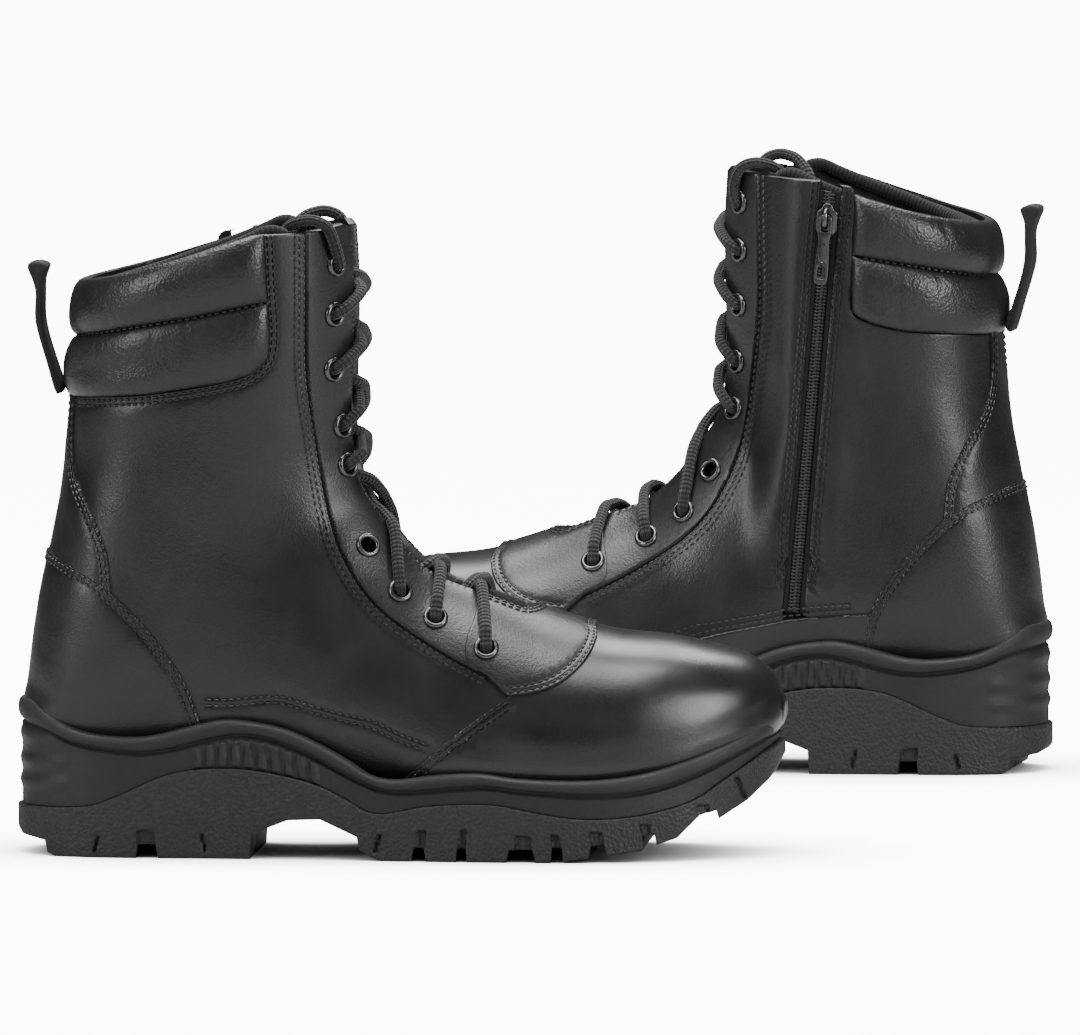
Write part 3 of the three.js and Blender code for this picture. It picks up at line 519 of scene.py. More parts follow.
@dataclass
class Panel:
    """A cut piece of leather or cloth laid on the last.

    Attributes:
        outline: Station number and turn of its corners, in order.
        outer: Height of its face over the last.
        inner: Height of its back.
        holes: Rings punched through it.
        rim: Radius of its rounded edge.
        cell: Size of its inner mesh cells.
        sink: How far the edge's foot lies under the face.
        seams: Rows of stitches that pull the leather down.
    """

    outline: Array
    outer: float
    inner: float
    holes: list[Array] = field(default_factory=list)
    rim: float = 0.9
    cell: float = 3.2
    sink: float = 1.2
    seams: list[Array] = field(default_factory=list)

    @staticmethod
    def rows_in(loop: Array) -> list[Array]:
        """Gives rows of places just inside a loop, or just outside a hole.

        Args:
            loop: Station number and turn of the loop's points.

        Returns:
            The rows.
        """
        return [LAST.shifted(loop, sign * step) for step in EDGE_ROWS for sign in (-1, 1)]

    def build(self, body: Body) -> None:
        """Adds the panel's mesh.

        Args:
            body: The body that takes it.
        """
        loops = [self.outline, *self.holes]
        flats = [LAST.chart(loop) for loop in loops]
        solid = [LAST.surface(*loop.T) for loop in loops]
        rim_points = np.vstack(solid)
        edge_points = rim_points[np.vstack(loops)[:, 0] > 0.05]
        extra = [row for loop in loops for row in self.rows_in(loop)]
        low, high = self.outline.min(0), self.outline.max(0)
        flat_low, flat_high = flats[0].min(0), flats[0].max(0)
        s = np.linspace(low[0], high[0], max(3, int((flat_high[0] - flat_low[0]) / self.cell)))
        phi = np.linspace(low[1], high[1], max(3, int((flat_high[1] - flat_low[1]) / self.cell)))
        grid = np.stack(np.meshgrid(s, phi, indexing="ij"), axis=2).reshape(-1, 2)
        seam_rows = [LAST.shifted(seam, d) for seam in self.seams for d in (-0.7, 0, 0.7)]
        near = np.vstack([*extra, *seam_rows])

        def kept(places: Array, margin: float) -> Array:
            """Drops places outside the panel or too near its edges."""
            places = places[within(LAST.chart(places), flats)]
            return places[distances(LAST.surface(*places.T), rim_points) > margin] if len(places) else places

        near = kept(near, NEAR_EDGE)
        grid = kept(grid, INNER_EDGE)
        if self.seams and len(grid):
            grid = grid[distances(LAST.surface(*grid.T), LAST.surface(*np.vstack(self.seams).T)) > 1.5]
        places = np.vstack([*loops, near, grid])
        flat = LAST.chart(places)
        found, tris, sources = filled(flat, flats)
        picks = [source[0] if source else int(np.argmin(((flat - found[k]) ** 2).sum(1)))
                 for k, source in enumerate(sources)]
        used = places[picks]
        s, phi = used.T
        ground = LAST.surface(s, phi)
        far = distances(ground, edge_points)
        edge = 1 - np.clip(far / self.rim, 0, 1)
        height = self.outer - self.sink * (1 - np.sqrt(np.maximum(0, 1 - edge ** 2)))
        if self.seams:
            to_seam = distances(ground, LAST.surface(*np.vstack(self.seams).T))
            height -= SEAM_DEPTH * np.exp(-(to_seam / SEAM_WIDTH) ** 2)
        height += self.ripple(ground) * np.clip(far / 6, 0, 1) + flare(ground)
        normal = LAST.normal(s, phi)
        top, bottom = ground + normal * height[:, None] + placket(ground), ground + normal * self.inner
        a, b, c = (top[tris[:, k]] for k in range(3))
        outward = (np.cross(b - a, c - a) * normal[tris[:, 0]]).sum(1) > 0
        shell(body, top, bottom, np.where(outward[:, None], tris, tris[:, ::-1]), LAST.chart(used))

    @staticmethod
    def ripple(points: Array) -> Array:
        """Gives the slow unevenness of laid leather.

        Args:
            points: Points of the surface.

        Returns:
            Small heights.
        """
        x, y, z = points.T
        slow = np.sin(x / 13 + 1.7 * np.sin(z / 19)) * np.sin(z / 11 + 1.3 * np.sin(x / 23 + y / 17))
        return 0.16 * slow + 0.07 * np.sin(x / 5.1 + z / 7.3) * np.sin(z / 4.3 - y / 6.1)


def loop_of(pieces: Iterable[Array], step: float = 0.9) -> Array:
    """Joins border pieces into one loop with evenly spaced points.

    Args:
        pieces: Lines of station number and turn, each ending where the next starts.
        step: Distance between the loop's points.

    Returns:
        The loop, without a repeated point.
    """
    points: list[Array] = []
    for piece in pieces:
        lengths = lengths_of(LAST.surface(*piece.T))
        count = max(1, int(round(lengths[-1] / step)))
        at = np.linspace(0, lengths[-1], count + 1)[:-1]
        points.append(np.stack([np.interp(at, lengths, piece[:, k]) for k in (0, 1)], axis=1))
    return np.vstack(points)


def drawn(line: Iterable, side: Side, curved: bool = True, step: float = 1.2) -> Array:
    """Lays a side view line on the last.

    Args:
        line: Points as X and Z.
        side: The side it is seen on.
        curved: Whether it bends smoothly.
        step: Distance between its points.

    Returns:
        Station number and turn of its points.
    """
    return LAST.locate(resample(np.array(list(line), float), step, curved), side)


def straight(start: Array, end: Array, count: int = 60) -> Array:
    """Joins two places directly.

    Args:
        start: Station number and turn of the first place.
        end: Station number and turn of the second.
        count: Number of points.

    Returns:
        The line.
    """
    return start + (end - start) * np.linspace(0, 1, count)[:, None]


def behind(line: Array) -> Array:
    """Counts the outer side's turns on past the back, so that a line can cross it.

    Args:
        line: Station number and turn of its points.

    Returns:
        The same line with turns from 0 to two pi.
    """
    return np.stack([line[:, 0], line[:, 1] % (2 * math.pi)], axis=1)


def hole_at(place: Array, radius: float, sides: int = 20) -> Array:
    """Draws a round hole on the last.

    Args:
        place: Station number and turn of its centre.
        radius: Radius of the hole.
        sides: Number of its corners.

    Returns:
        The loop.
    """
    s, phi = np.full(sides, place[0]), np.full(sides, place[1])
    along, around = LAST.slopes(s, phi)
    first = unit(along)
    second = np.cross(unit(np.cross(around, along)), first)
    turn = np.linspace(0, 2 * math.pi, sides, endpoint=False)[:, None]
    move = (first * np.cos(turn) + second * np.sin(turn)) * radius
    return LAST.stepped(s, phi, along, around, move)


@dataclass
class Stitching:
    """Rows of thread laid on the last.

    Attributes:
        pitch: Distance from one stitch to the next.
        length: Length of a stitch that shows.
        thread: Thickness of the thread.
    """

    pitch: float = 3.0
    length: float = 2.2
    thread: float = 0.95
    rows: list[tuple[Array, float]] = field(default_factory=list)

    def add(self, line: Array, height: float) -> None:
        """Adds a row of stitches.

        Args:
            line: Station number and turn of its points.
            height: Height of the thread's centre over the last.
        """
        self.rows.append((line, height))

    def build(self, body: Body) -> None:
        """Adds the stitches' mesh.

        Args:
            body: The body that takes it.
        """
        turn = np.linspace(0, 2 * math.pi, 6, endpoint=False)
        shares = np.array([-0.5, -0.38, 0, 0.38, 0.5])
        swell = np.array([0.15, 0.75, 1.0, 0.75, 0.15])
        for line, height in self.rows:
            ground = LAST.surface(line[:, 0], line[:, 1])
            solid = LAST.place(line[:, 0], line[:, 1], height + flare(ground)) + placket(ground)
            lengths = lengths_of(solid)
            normals = LAST.normal(line[:, 0], line[:, 1])
            for middle in np.arange(self.pitch / 2, lengths[-1] - self.length / 2, self.pitch):
                at = middle + shares * self.length
                path = np.stack([np.interp(at, lengths, solid[:, k]) for k in range(3)], axis=1)
                up = unit(np.array([np.interp(middle, lengths, normals[:, k]) for k in range(3)]))
                path += up * (np.array([-0.35, 0.0, 0.1, 0.0, -0.35]))[:, None]
                across = unit(np.cross(path[-1] - path[0], up))
                ring = across * np.cos(turn)[:, None] + up * np.sin(turn)[:, None]
                grid = path[:, None] + ring[None] * (self.thread / 2 * swell)[:, None, None]
                body.grid(grid, wrap=True, caps=True, flip=True)


FACING_REAR = [(200.4, 65.6), (192, 73), (171, 84), (149, 99), (135.7, 116), (127, 138), (121, 173),
               (118.6, 197), (118.6, 225), (118.6, 250.4)]
VAMP_EDGE = [(155.4, 29), (157, 32.4), (180, 51), (196, 62.5), (200.4, 65.6)]
APRON_FRONT = [(200.4, 65.6), (211, 67), (221, 70.6), (230, 78), (234, 86), (233, 90.2)]
COLLAR_BORDER = [(103, 249.7), (103.8, 228), (104.8, 211), (103.4, 200.5), (98, 194.4), (86, 190.4),
                 (56, 185.6), (24, 183.2)]
COLLAR_TOP = [(28, 230), (50, 234.6), (71, 240.8), (86, 245.6), (99, 249.8), (106, 250.6)]
COLLAR_PINCH = [(22.6, 206.4), (50, 212), (76, 216.7), (106, 223)]
COLLAR_BOTTOM = [(21, 182.6), (56, 185), (86, 189.6), (97, 193), (101, 197), (104, 201)]
INNER_CORNER = [(68, 187.6), (74, 190.2), (77.2, 193), (79.4, 198), (80, 202)]
ZIP_COLLAR = [(84, 247), (77, 243.5), (77.6, 225), (78.6, 205), (78.6, 195), (75, 190.6), (56, 185.6),
              (24, 183.2)]
COUNTER_TOP = [(13.5, 121.6), (23.6, 117), (33.7, 112), (41.6, 106), (52.8, 95), (61.8, 84), (70.7, 70),
               (78.6, 50)]
STAY_EDGE = [(25, 188), (24.4, 165), (27, 150), (33.6, 136.5), (39.3, 122), (41, 106)]
FOXING_TOP = [(72, 67.5), (104, 64.8), (111, 63.5), (151, 54), (172, 38)]
SIDE_ROWS = [(78.6, 61), (88, 61), (107, 62.4), (118, 59.6), (132, 56), (145, 53), (156, 48), (167, 44)]
FOOT_LINE = [(306, 52), (296, 46), (275, 37), (254, 31.6), (232, 29.6), (206, 30), (189, 31.5), (172, 31),
             (155, 29.6), (145, 31), (136, 37), (123, 44), (111, 48.6), (99, 51), (86, 52), (73, 49.6),
             (57, 46), (43, 45.4), (27, 47.4), (15, 52.4), (9, 56)]
ZIP_LINE = [(104, 67), (87, 248)]
EYELETS = {
    Side.OUTER: [(191, 83.6), (170.3, 95.4), (155.7, 106), (142.3, 124), (133, 156), (131, 172), (128, 195),
                 (128.4, 217), (129, 237)],
    Side.INNER: [(189, 86.5), (167, 97), (151, 108), (140, 125), (130.5, 151), (129, 171), (127.6, 195),
                 (127, 218), (126.6, 238)],
}
BEAD_TOP = ((-10, 62), (6, 62), (15, 56), (27, 50.6), (43, 48.4), (57, 49), (73, 53), (86, 55.6),
            (99, 54.6), (111, 52), (123, 47), (136, 40), (145, 34.4), (155, 32.6), (172, 34.6),
            (189, 35.4), (206, 33.4), (232, 32.8), (254, 35), (275, 40.6), (296, 49.7), (305, 56.6),
            (315, 62))
UNLACED = 3
THROAT_HALF = 14.0
FACE = 1.8
BACK = -1.8
THREAD = 0.12
EDGE_ROWS = (0.3, 0.65, 1.1, 1.8)
NEAR_EDGE = 0.25
INNER_EDGE = 2.2
SEAM_DEPTH = 0.45
SEAM_WIDTH = 0.75


def throat_turn(s: Array, half: float = THROAT_HALF) -> Array:
    """Finds how far round the throat's edge lies.

    Args:
        s: Station numbers.
        half: Half of the throat's width.

    Returns:
        The turns on the inner side.
    """
    turns = np.linspace(0, 1.4, 141)
    found = []
    for value in np.atleast_1d(s):
        y = LAST.surface(np.full(len(turns), value), turns)[:, 1]
        found.append(np.interp(half, y - y[0], turns))
    return np.array(found)


def throat_line(low: float, high: float, side: Side, half: float = THROAT_HALF) -> Array:
    """Draws the throat's edge between two stations.

    Args:
        low: Station where the line starts.
        high: Station where it ends.
        side: The boot's side.
        half: Half of the throat's width there.

    Returns:
        Station number and turn of its points.
    """
    s = np.linspace(low, high, 90)
    return np.stack([s, side.value * throat_turn(s, half)], axis=1)


def places_of(side: Side) -> Array:
    """Gives where a side's eyelets sit.

    Args:
        side: The boot's side.

    Returns:
        Station number and turn of each, from the toe end up.
    """
    return LAST.locate(EYELETS[side], side)


def cut_between(line: Array, low: float, high: float) -> Array:
    """Keeps the part of a line between two stations.

    Args:
        line: Station number and turn of its points.
        low: Lowest station kept.
        high: Highest station kept.

    Returns:
        The shorter line.
    """
    return line[(line[:, 0] >= low) & (line[:, 0] <= high)]


@dataclass
class Upper:
    """The leather upper of one boot, cut into its panels.

    Attributes:
        stitching: Threads of every seam.
        bodies: The finished panels by name.
    """

    stitching: Stitching = field(default_factory=Stitching)
    bodies: dict[str, Body] = field(default_factory=dict)

    def panel(self, name: str, panel: Panel) -> None:
        """Builds a panel under a name.

        Args:
            name: The panel's name.
            panel: Its cut.
        """
        body = self.bodies.setdefault(name, Body())
        panel.build(body)
        LOG.info("cut %s: %d vertices", name, body.count)

    def double_row(self, line: Array, first: float, gap: float, height: float) -> list[Array]:
        """Sews two rows beside a line.

        Args:
            line: Station number and turn of the line.
            first: Distance to the first row, positive to the left.
            gap: Distance from the first row to the second.
            height: Height of the thread.

        Returns:
            The two rows.
        """
        rows = [LAST.shifted(line, first), LAST.shifted(line, first + gap)]
        for row in rows:
            self.stitching.add(row, height)
        return rows

    def foot(self, x0: float, x1: float, side: Side) -> Array:
        """Gives the panels' lower border under the sole's bead.

        Args:
            x0: X where it starts.
            x1: X where it ends.
            side: The boot's side.

        Returns:
            Station number and turn of its points.
        """
        line = np.array(FOOT_LINE[::-1])
        x = np.linspace(x0, x1, max(3, int(abs(x1 - x0) / 2)))
        return LAST.locate(np.stack([x, np.interp(x, line[:, 0], line[:, 1])], axis=1), side)

    def vamp(self) -> None:
        """Cuts the vamp, from the toe to the apron and the quarters, and closes its toe."""
        outer, inner = drawn(VAMP_EDGE, Side.OUTER), drawn(VAMP_EDGE, Side.INNER)
        top = 5.3
        cross = [straight(outer[-1], np.array([top, -1.1])),
                 straight(np.array([top, -1.1]), np.array([top, 1.1])),
                 straight(np.array([top, 1.1]), inner[-1])]
        foot_inner, foot_outer = self.foot(155.4, 303.6, Side.INNER), self.foot(303.6, 155.4, Side.OUTER)
        pole_in, pole_out = np.array([0.0, 2.6]), np.array([0.0, -2.6])
        loop = loop_of([outer, *cross, inner[::-1], foot_inner, straight(foot_inner[-1], pole_in),
                        straight(pole_in, pole_out), straight(pole_out, foot_outer[0]), foot_outer])
        seams = [*self.double_row(outer, -1.7, -2.2, 0.9 + THREAD),
                 *self.double_row(inner, 1.7, 2.2, 0.9 + THREAD)]
        body = self.bodies.setdefault("vamp", Body())
        Panel(loop, 0.9, BACK, seams=seams, cell=3.4, rim=0.9, sink=0.9).build(body)
        ring_turns = np.linspace(0, 2 * math.pi, 60, endpoint=False)
        ring = LAST.place(np.zeros(60), ring_turns, 0.9 + flare(LAST.surface(np.zeros(60), ring_turns)))
        centre = ring.mean(0)
        lean = np.linspace(0, math.pi / 2, 8)
        cap = centre + (ring - centre)[None] * np.cos(lean)[:, None, None]
        cap[:, :, 0] += 1.6 * np.sin(lean)[:, None]
        body.grid(cap, wrap=True, flip=True)

    def quarters(self) -> None:
        """Cuts the outer quarter and the two inner quarters."""
        under = 2.4
        outer_collar = behind(drawn(COLLAR_BORDER, Side.OUTER))
        outer_front = behind(LAST.shifted(drawn([*VAMP_EDGE[:-1], *FACING_REAR[:-1]], Side.OUTER, False),
                                          -under))
        top_start = behind(LAST.locate([(119.5, 249.9)], Side.OUTER))[0]
        foot = behind(self.foot(9, 153, Side.OUTER))
        back_top = np.array([outer_collar[-1, 0], math.pi + 0.02])
        back_foot = np.array([foot[0, 0], math.pi + 0.02])
        loop = loop_of([outer_front, straight(outer_front[-1], top_start),
                        straight(top_start, outer_collar[0]),
                        outer_collar, straight(outer_collar[-1], back_top),
                        straight(back_top, back_foot), straight(back_foot, foot[0]), foot,
                        straight(foot[-1], outer_front[0])])
        seams = self.double_row(outer_collar, 1.5, 2.1, THREAD)
        seams += self.double_row(behind(drawn(SIDE_ROWS, Side.OUTER)), 0, 2.4, THREAD)
        self.panel("outer_quarter", Panel(loop, 0.0, BACK, seams=seams, cell=3.6, rim=0.8, sink=0.8))
        front_edge, rear_edge = self.zip_edges(4.5)
        inner_front = LAST.shifted(drawn([*VAMP_EDGE[:-1], *FACING_REAR[:-1]], Side.INNER, False), under)
        top_start = LAST.locate([(119.5, 249.9)], Side.INNER)[0]
        foot = self.foot(153, 111, Side.INNER)
        loop = loop_of([inner_front, straight(inner_front[-1], top_start),
                        straight(top_start, front_edge[-1]), front_edge[::-1],
                        straight(front_edge[0], foot[-1]), foot[::-1], straight(foot[0], inner_front[0])])
        seams = self.double_row(front_edge[8:], 1.4, 2.2, THREAD)
        self.panel("inner_front_quarter", Panel(loop, 0.0, BACK, seams=seams, cell=3.4, rim=0.8, sink=0.8))
        collar = drawn(ZIP_COLLAR, Side.INNER)
        foot = self.foot(96, 9, Side.INNER)
        rear = cut_between(rear_edge, 0, collar[0, 0] + 0.02)
        seam_back = math.pi - 0.02
        loop = loop_of([rear, straight(rear[-1], collar[0]), collar,
                        straight(collar[-1], np.array([collar[-1, 0], seam_back])),
                        straight(np.array([collar[-1, 0], seam_back]), np.array([foot[-1, 0], seam_back])),
                        straight(np.array([foot[-1, 0], seam_back]), foot[-1]), foot[::-1],
                        straight(foot[0], rear[0])])
        seams = self.double_row(rear[8:], -1.4, -2.0, THREAD)
        seams += self.double_row(collar[46:], 1.5, 2.1, THREAD)
        self.panel("inner_rear_quarter", Panel(loop, 0.0, BACK, seams=seams, cell=3.4, rim=0.8, sink=0.8))

    def zip_edges(self, half: float) -> tuple[Array, Array]:
        """Gives the leather's two edges beside the zip.

        Args:
            half: Distance of an edge from the zip's middle.

        Returns:
            The front edge and the rear edge, each from the foot up.
        """
        middle = drawn(ZIP_LINE, Side.INNER, False, 1.5)
        return LAST.shifted(middle, half), LAST.shifted(middle, -half)

    def overlays(self) -> None:
        """Cuts the heel counter, the back stay and the inner foxing."""
        outer, inner = behind(drawn(COUNTER_TOP, Side.OUTER)), drawn(COUNTER_TOP, Side.INNER)
        foot_in, foot_out = self.foot(9, 80.2, Side.INNER), behind(self.foot(80.2, 9, Side.OUTER))
        loop = loop_of([inner[::-1], straight(inner[0], outer[0], 12), outer,
                        straight(outer[-1], foot_out[0], 8), foot_out,
                        straight(foot_out[-1], foot_in[0], 12), foot_in,
                        straight(foot_in[-1], inner[-1], 8)])
        seams = [*self.double_row(outer, -1.6, -2.2, FACE + THREAD),
                 *self.double_row(inner, 1.6, 2.2, FACE + THREAD)]
        self.panel("heel_counter", Panel(loop, FACE, -0.2, seams=seams, sink=1.7))
        outer, inner = behind(drawn(STAY_EDGE, Side.OUTER)), drawn(STAY_EDGE, Side.INNER)
        loop = loop_of([inner[::-1], straight(inner[0], outer[0], 12), outer,
                        straight(outer[-1], inner[-1], 40)])
        seams = [*self.double_row(outer, -1.5, -2.0, 1.5 + THREAD),
                 *self.double_row(inner, 1.5, 2.0, 1.5 + THREAD)]
        self.panel("back_stay", Panel(loop, 1.5, -0.2, seams=seams, sink=1.4, cell=2.6))
        top = drawn(FOXING_TOP, Side.INNER)
        foot = self.foot(166, 72, Side.INNER)
        loop = loop_of([top, straight(top[-1], foot[0], 8), foot, straight(foot[-1], top[0], 8)])
        seams = self.double_row(top[6:-4], -1.6, -2.2, FACE + THREAD)
        self.panel("inner_foxing", Panel(loop, FACE, -0.2, seams=seams, sink=1.7))

    def facings(self) -> None:
        """Cuts the two eyelet facings and the apron in front of the throat."""
        for side in Side:
            name = f"{side.name.lower()}_facing"
            sign = side.value
            rear = drawn(FACING_REAR[1:], side)
            start = drawn([(192, 73), (186.4, 79), (186.6, 88), (188, 97)], side)
            low = float(start[-1, 0])
            front = throat_line(max(low, 5.2), 17.78, side)
            tail = straight(start[-1], front[0], 10)
            top = [LAST.locate([(131.5, 253.2), (126, 251.6), (118.6, 250.4)], side)]
            upper = np.vstack([front[-1:], top[0]])
            loop = loop_of([rear[::-1], start, tail, front, upper])
            holes = [hole_at(place, 3.7) for place in places_of(side)[1:]]
            seams = [*self.double_row(rear, 1.5 * -sign, 2.1 * -sign, FACE + THREAD)]
            seams.append(LAST.shifted(front[3:-3], -1.6 * sign))
            self.panel(name, Panel(loop, FACE, BACK, holes=holes, seams=seams, sink=1.7, cell=3.0))
        outer, inner = drawn(APRON_FRONT, Side.OUTER), drawn(APRON_FRONT, Side.INNER)
        ends = [drawn([(200.4, 65.6), (192, 73.2), (183.5, 78.4), (182.5, 86), (185, 95)], side)
                for side in Side]
        cut_low, cut_high = 5.15, float(ends[0][-1, 0])
        cut = [throat_line(cut_high + 0.02, cut_low + 0.25, Side.OUTER),
               throat_line(cut_low + 0.25, cut_high, Side.INNER)]
        arc_turn = np.linspace(-math.pi / 2, math.pi / 2, 40)
        edge = throat_turn(np.array([cut_low + 0.25]))[0]
        arc = np.stack([cut_low + 0.25 - 0.25 * np.cos(arc_turn), edge * np.sin(arc_turn)], axis=1)
        loop = loop_of([outer[::-1], ends[0], straight(ends[0][-1], cut[0][0], 6),
                        cut[0], arc, cut[1], straight(cut[1][-1], ends[1][-1], 6), ends[1][::-1], inner,
                        straight(inner[-1], outer[-1], 20)])
        holes = [hole_at(places_of(side)[0], 3.7) for side in Side]
        crossing = np.vstack([outer, straight(outer[-1], inner[-1], 20)[1:-1], inner[::-1]])
        seams = [*self.double_row(crossing, 1.6, 2.2, FACE + THREAD)]
        ring = np.vstack([cut[0], arc[1:-1], cut[1]])
        for distance in (-1.6, -3.6):
            row = LAST.shifted(ring, distance)
            self.stitching.add(row, FACE + THREAD)
            seams.append(row)
        self.panel("apron", Panel(loop, FACE + 0.3, BACK, holes=holes, seams=seams, sink=1.9, cell=2.8))

    def build(self) -> dict[str, Body]:
        """Cuts and sews the whole upper.

        Returns:
            The finished panels by name.
        """
        self.vamp()
        self.quarters()
        self.overlays()
        self.facings()
        for line, side in ((COLLAR_PINCH, Side.OUTER), (COLLAR_PINCH[:3], Side.INNER)):
            self.stitching.add(behind(drawn(line, side)), 0.85)
        body = Body()
        self.stitching.build(body)
        self.bodies["stitching"] = body
        return self.bodies


@dataclass
class Lacing:
    """The lace and the eyelets it runs through.

    Attributes:
        diameter: Thickness of the lace.
        outside: Height of the lace's centre over the facing.
        inside: Height of the lace's centre behind the facing.
        crossing: Heights of the upper and of the lower strand where two cross.
    """

    diameter: float = 5.0
    outside: float = 4.3
    inside: float = -6.4
    crossing: tuple[float, float] = (1.4, -4.0)

    def strand(self, start: Array, end: Array, over: bool) -> list[Array]:
        """Runs one strand out of an eyelet, across the throat and behind the next one.

        Args:
            start: Station number and turn of the eyelet it leaves.
            end: Station number and turn of the eyelet it goes to.
            over: Whether it crosses over the other strand.

        Returns:
            Its centre points.
        """
        def at(share: float, offset: float) -> Array:
            """Gives a point over the run between the two places."""
            place = start + (end - start) * share
            return LAST.place(place[0], place[1], offset)[0]

        near = 0.5 - throat_turn(start[:1])[0] / abs(start[1]) / 2
        far = throat_turn(end[:1])[0] / abs(end[1]) / 2
        top, low = self.crossing
        points = [at(0, -3), at(0, 1.5), at(0.035, self.outside - 1.2), at(0.1, self.outside),
                  at(near, self.outside)]
        if over:
            points += [at(0.43, top + 0.9), at(0.5, top), at(0.5 + 0.45 * far, -0.9),
                       at(0.5 + 0.95 * far, -5.4)]
        else:
            points += [at(0.41, -0.6), at(0.5, low), at(0.5 + 0.45 * far, -4.8), at(0.5 + 0.95 * far, -6.0)]
        return [*points, at(0.93, self.inside), at(0.985, self.inside + 1)]

    def half(self, side: Side) -> list[Array]:
        """Runs half of the lace from the lowest eyelet to its tail.

        Args:
            side: The side it starts on.

        Returns:
            Its centre points.
        """
        places = {one: places_of(one) for one in Side}
        other = {Side.OUTER: Side.INNER, Side.INNER: Side.OUTER}
        rows = [row for row in range(len(EYELETS[side])) if row != UNLACED]
        points, current = [], side
        for k, row in enumerate(rows[:-1]):
            over = (k + (1 if side is Side.OUTER else 0)) % 2 == 0
            points += self.strand(places[current][row], places[other[current]][rows[k + 1]], over)
            current = other[current]
        last = places[current][rows[-1]]
        points += [LAST.place(last[0], last[1], d)[0] for d in (-3, 1.5, self.outside - 0.8)]
        for x, z, offset in ((126.5, 245, 4.7), (124.6, 251.6, 4.2), (122.4, 254.4, 1.6),
                             (119.6, 254.6, -2.6), (116.5, 251, -9.5), (114.5, 240, -17),
                             (113, 205, -18.5), (113, 180, -18.5)):
            place = LAST.locate([(x, z)], current)[0]
            points.append(LAST.place(place[0], place[1], offset)[0])
        return points

    def path(self) -> Array:
        """Gives the whole lace's centre line.

        Returns:
            Points 0.9 mm apart.
        """
        start = places_of(Side.OUTER)[0]
        bar = [LAST.place(start[0], turn, self.inside)[0] for turn in (-0.62, -0.3, 0, 0.3, 0.62)]
        line = [*self.half(Side.OUTER)[::-1], *bar, *self.half(Side.INNER)]
        return resample(np.array(line), 0.9)

    def lace(self) -> Body:
        """Makes the lace.

        Returns:
            Its body.
        """
        body = Body()
        body.tube(self.path(), self.diameter / 2, sides=14, flatten=0.94)
        return body

    def eyelets(self, side: Side) -> Body:
        """Makes a row of eyelets.

        Args:
            side: The boot's side.

        Returns:
            Their body.
        """
        body = Body()
        outline = np.array([(3.1, -3.1), (3.1, 2.1), (3.3, 2.8), (3.95, 3.2), (4.6, 3.0), (5.0, 2.5),
                            (5.1, 1.95), (4.2, 1.75), (3.7, 1.6), (3.7, -2.2), (4.3, -2.6), (4.3, -3.1)])
        turn = np.linspace(0, 2 * math.pi, 36, endpoint=False)
        for k, place in enumerate(places_of(side)):
            foot = LAST.place(place[0], place[1], 0.3 if k == 0 else 0.0)[0]
            up = LAST.normal(place[:1], place[1:])[0]
            first = unit(np.cross(up, [0.0, 0.3, 1.0]))
            second = np.cross(up, first)
            ring = first * np.cos(turn)[:, None] + second * np.sin(turn)[:, None]
            grid = foot + outline[:, 0, None, None] * ring[None] + outline[:, 1, None, None] * up
            closed = np.concatenate([grid, grid[:1]], axis=0)
            body.grid(closed, wrap=True, flip=True)
        return body


def slab(body: Body, outer: Array, inner: Array, uv: Array | None = None) -> None:
    """Adds a closed sheet between two grids.

    Args:
        body: The body that takes it.
        outer: Rows by columns by three, the face seen from outside.
        inner: The same for the back.
        uv: Flat coordinates, rows by columns by two.
    """
    full = np.concatenate([outer, inner[:, ::-1]], axis=1)
    maps = None if uv is None else np.concatenate([uv, uv[:, ::-1]], axis=1)
    body.grid(full, wrap=True, caps=True, uv=maps)


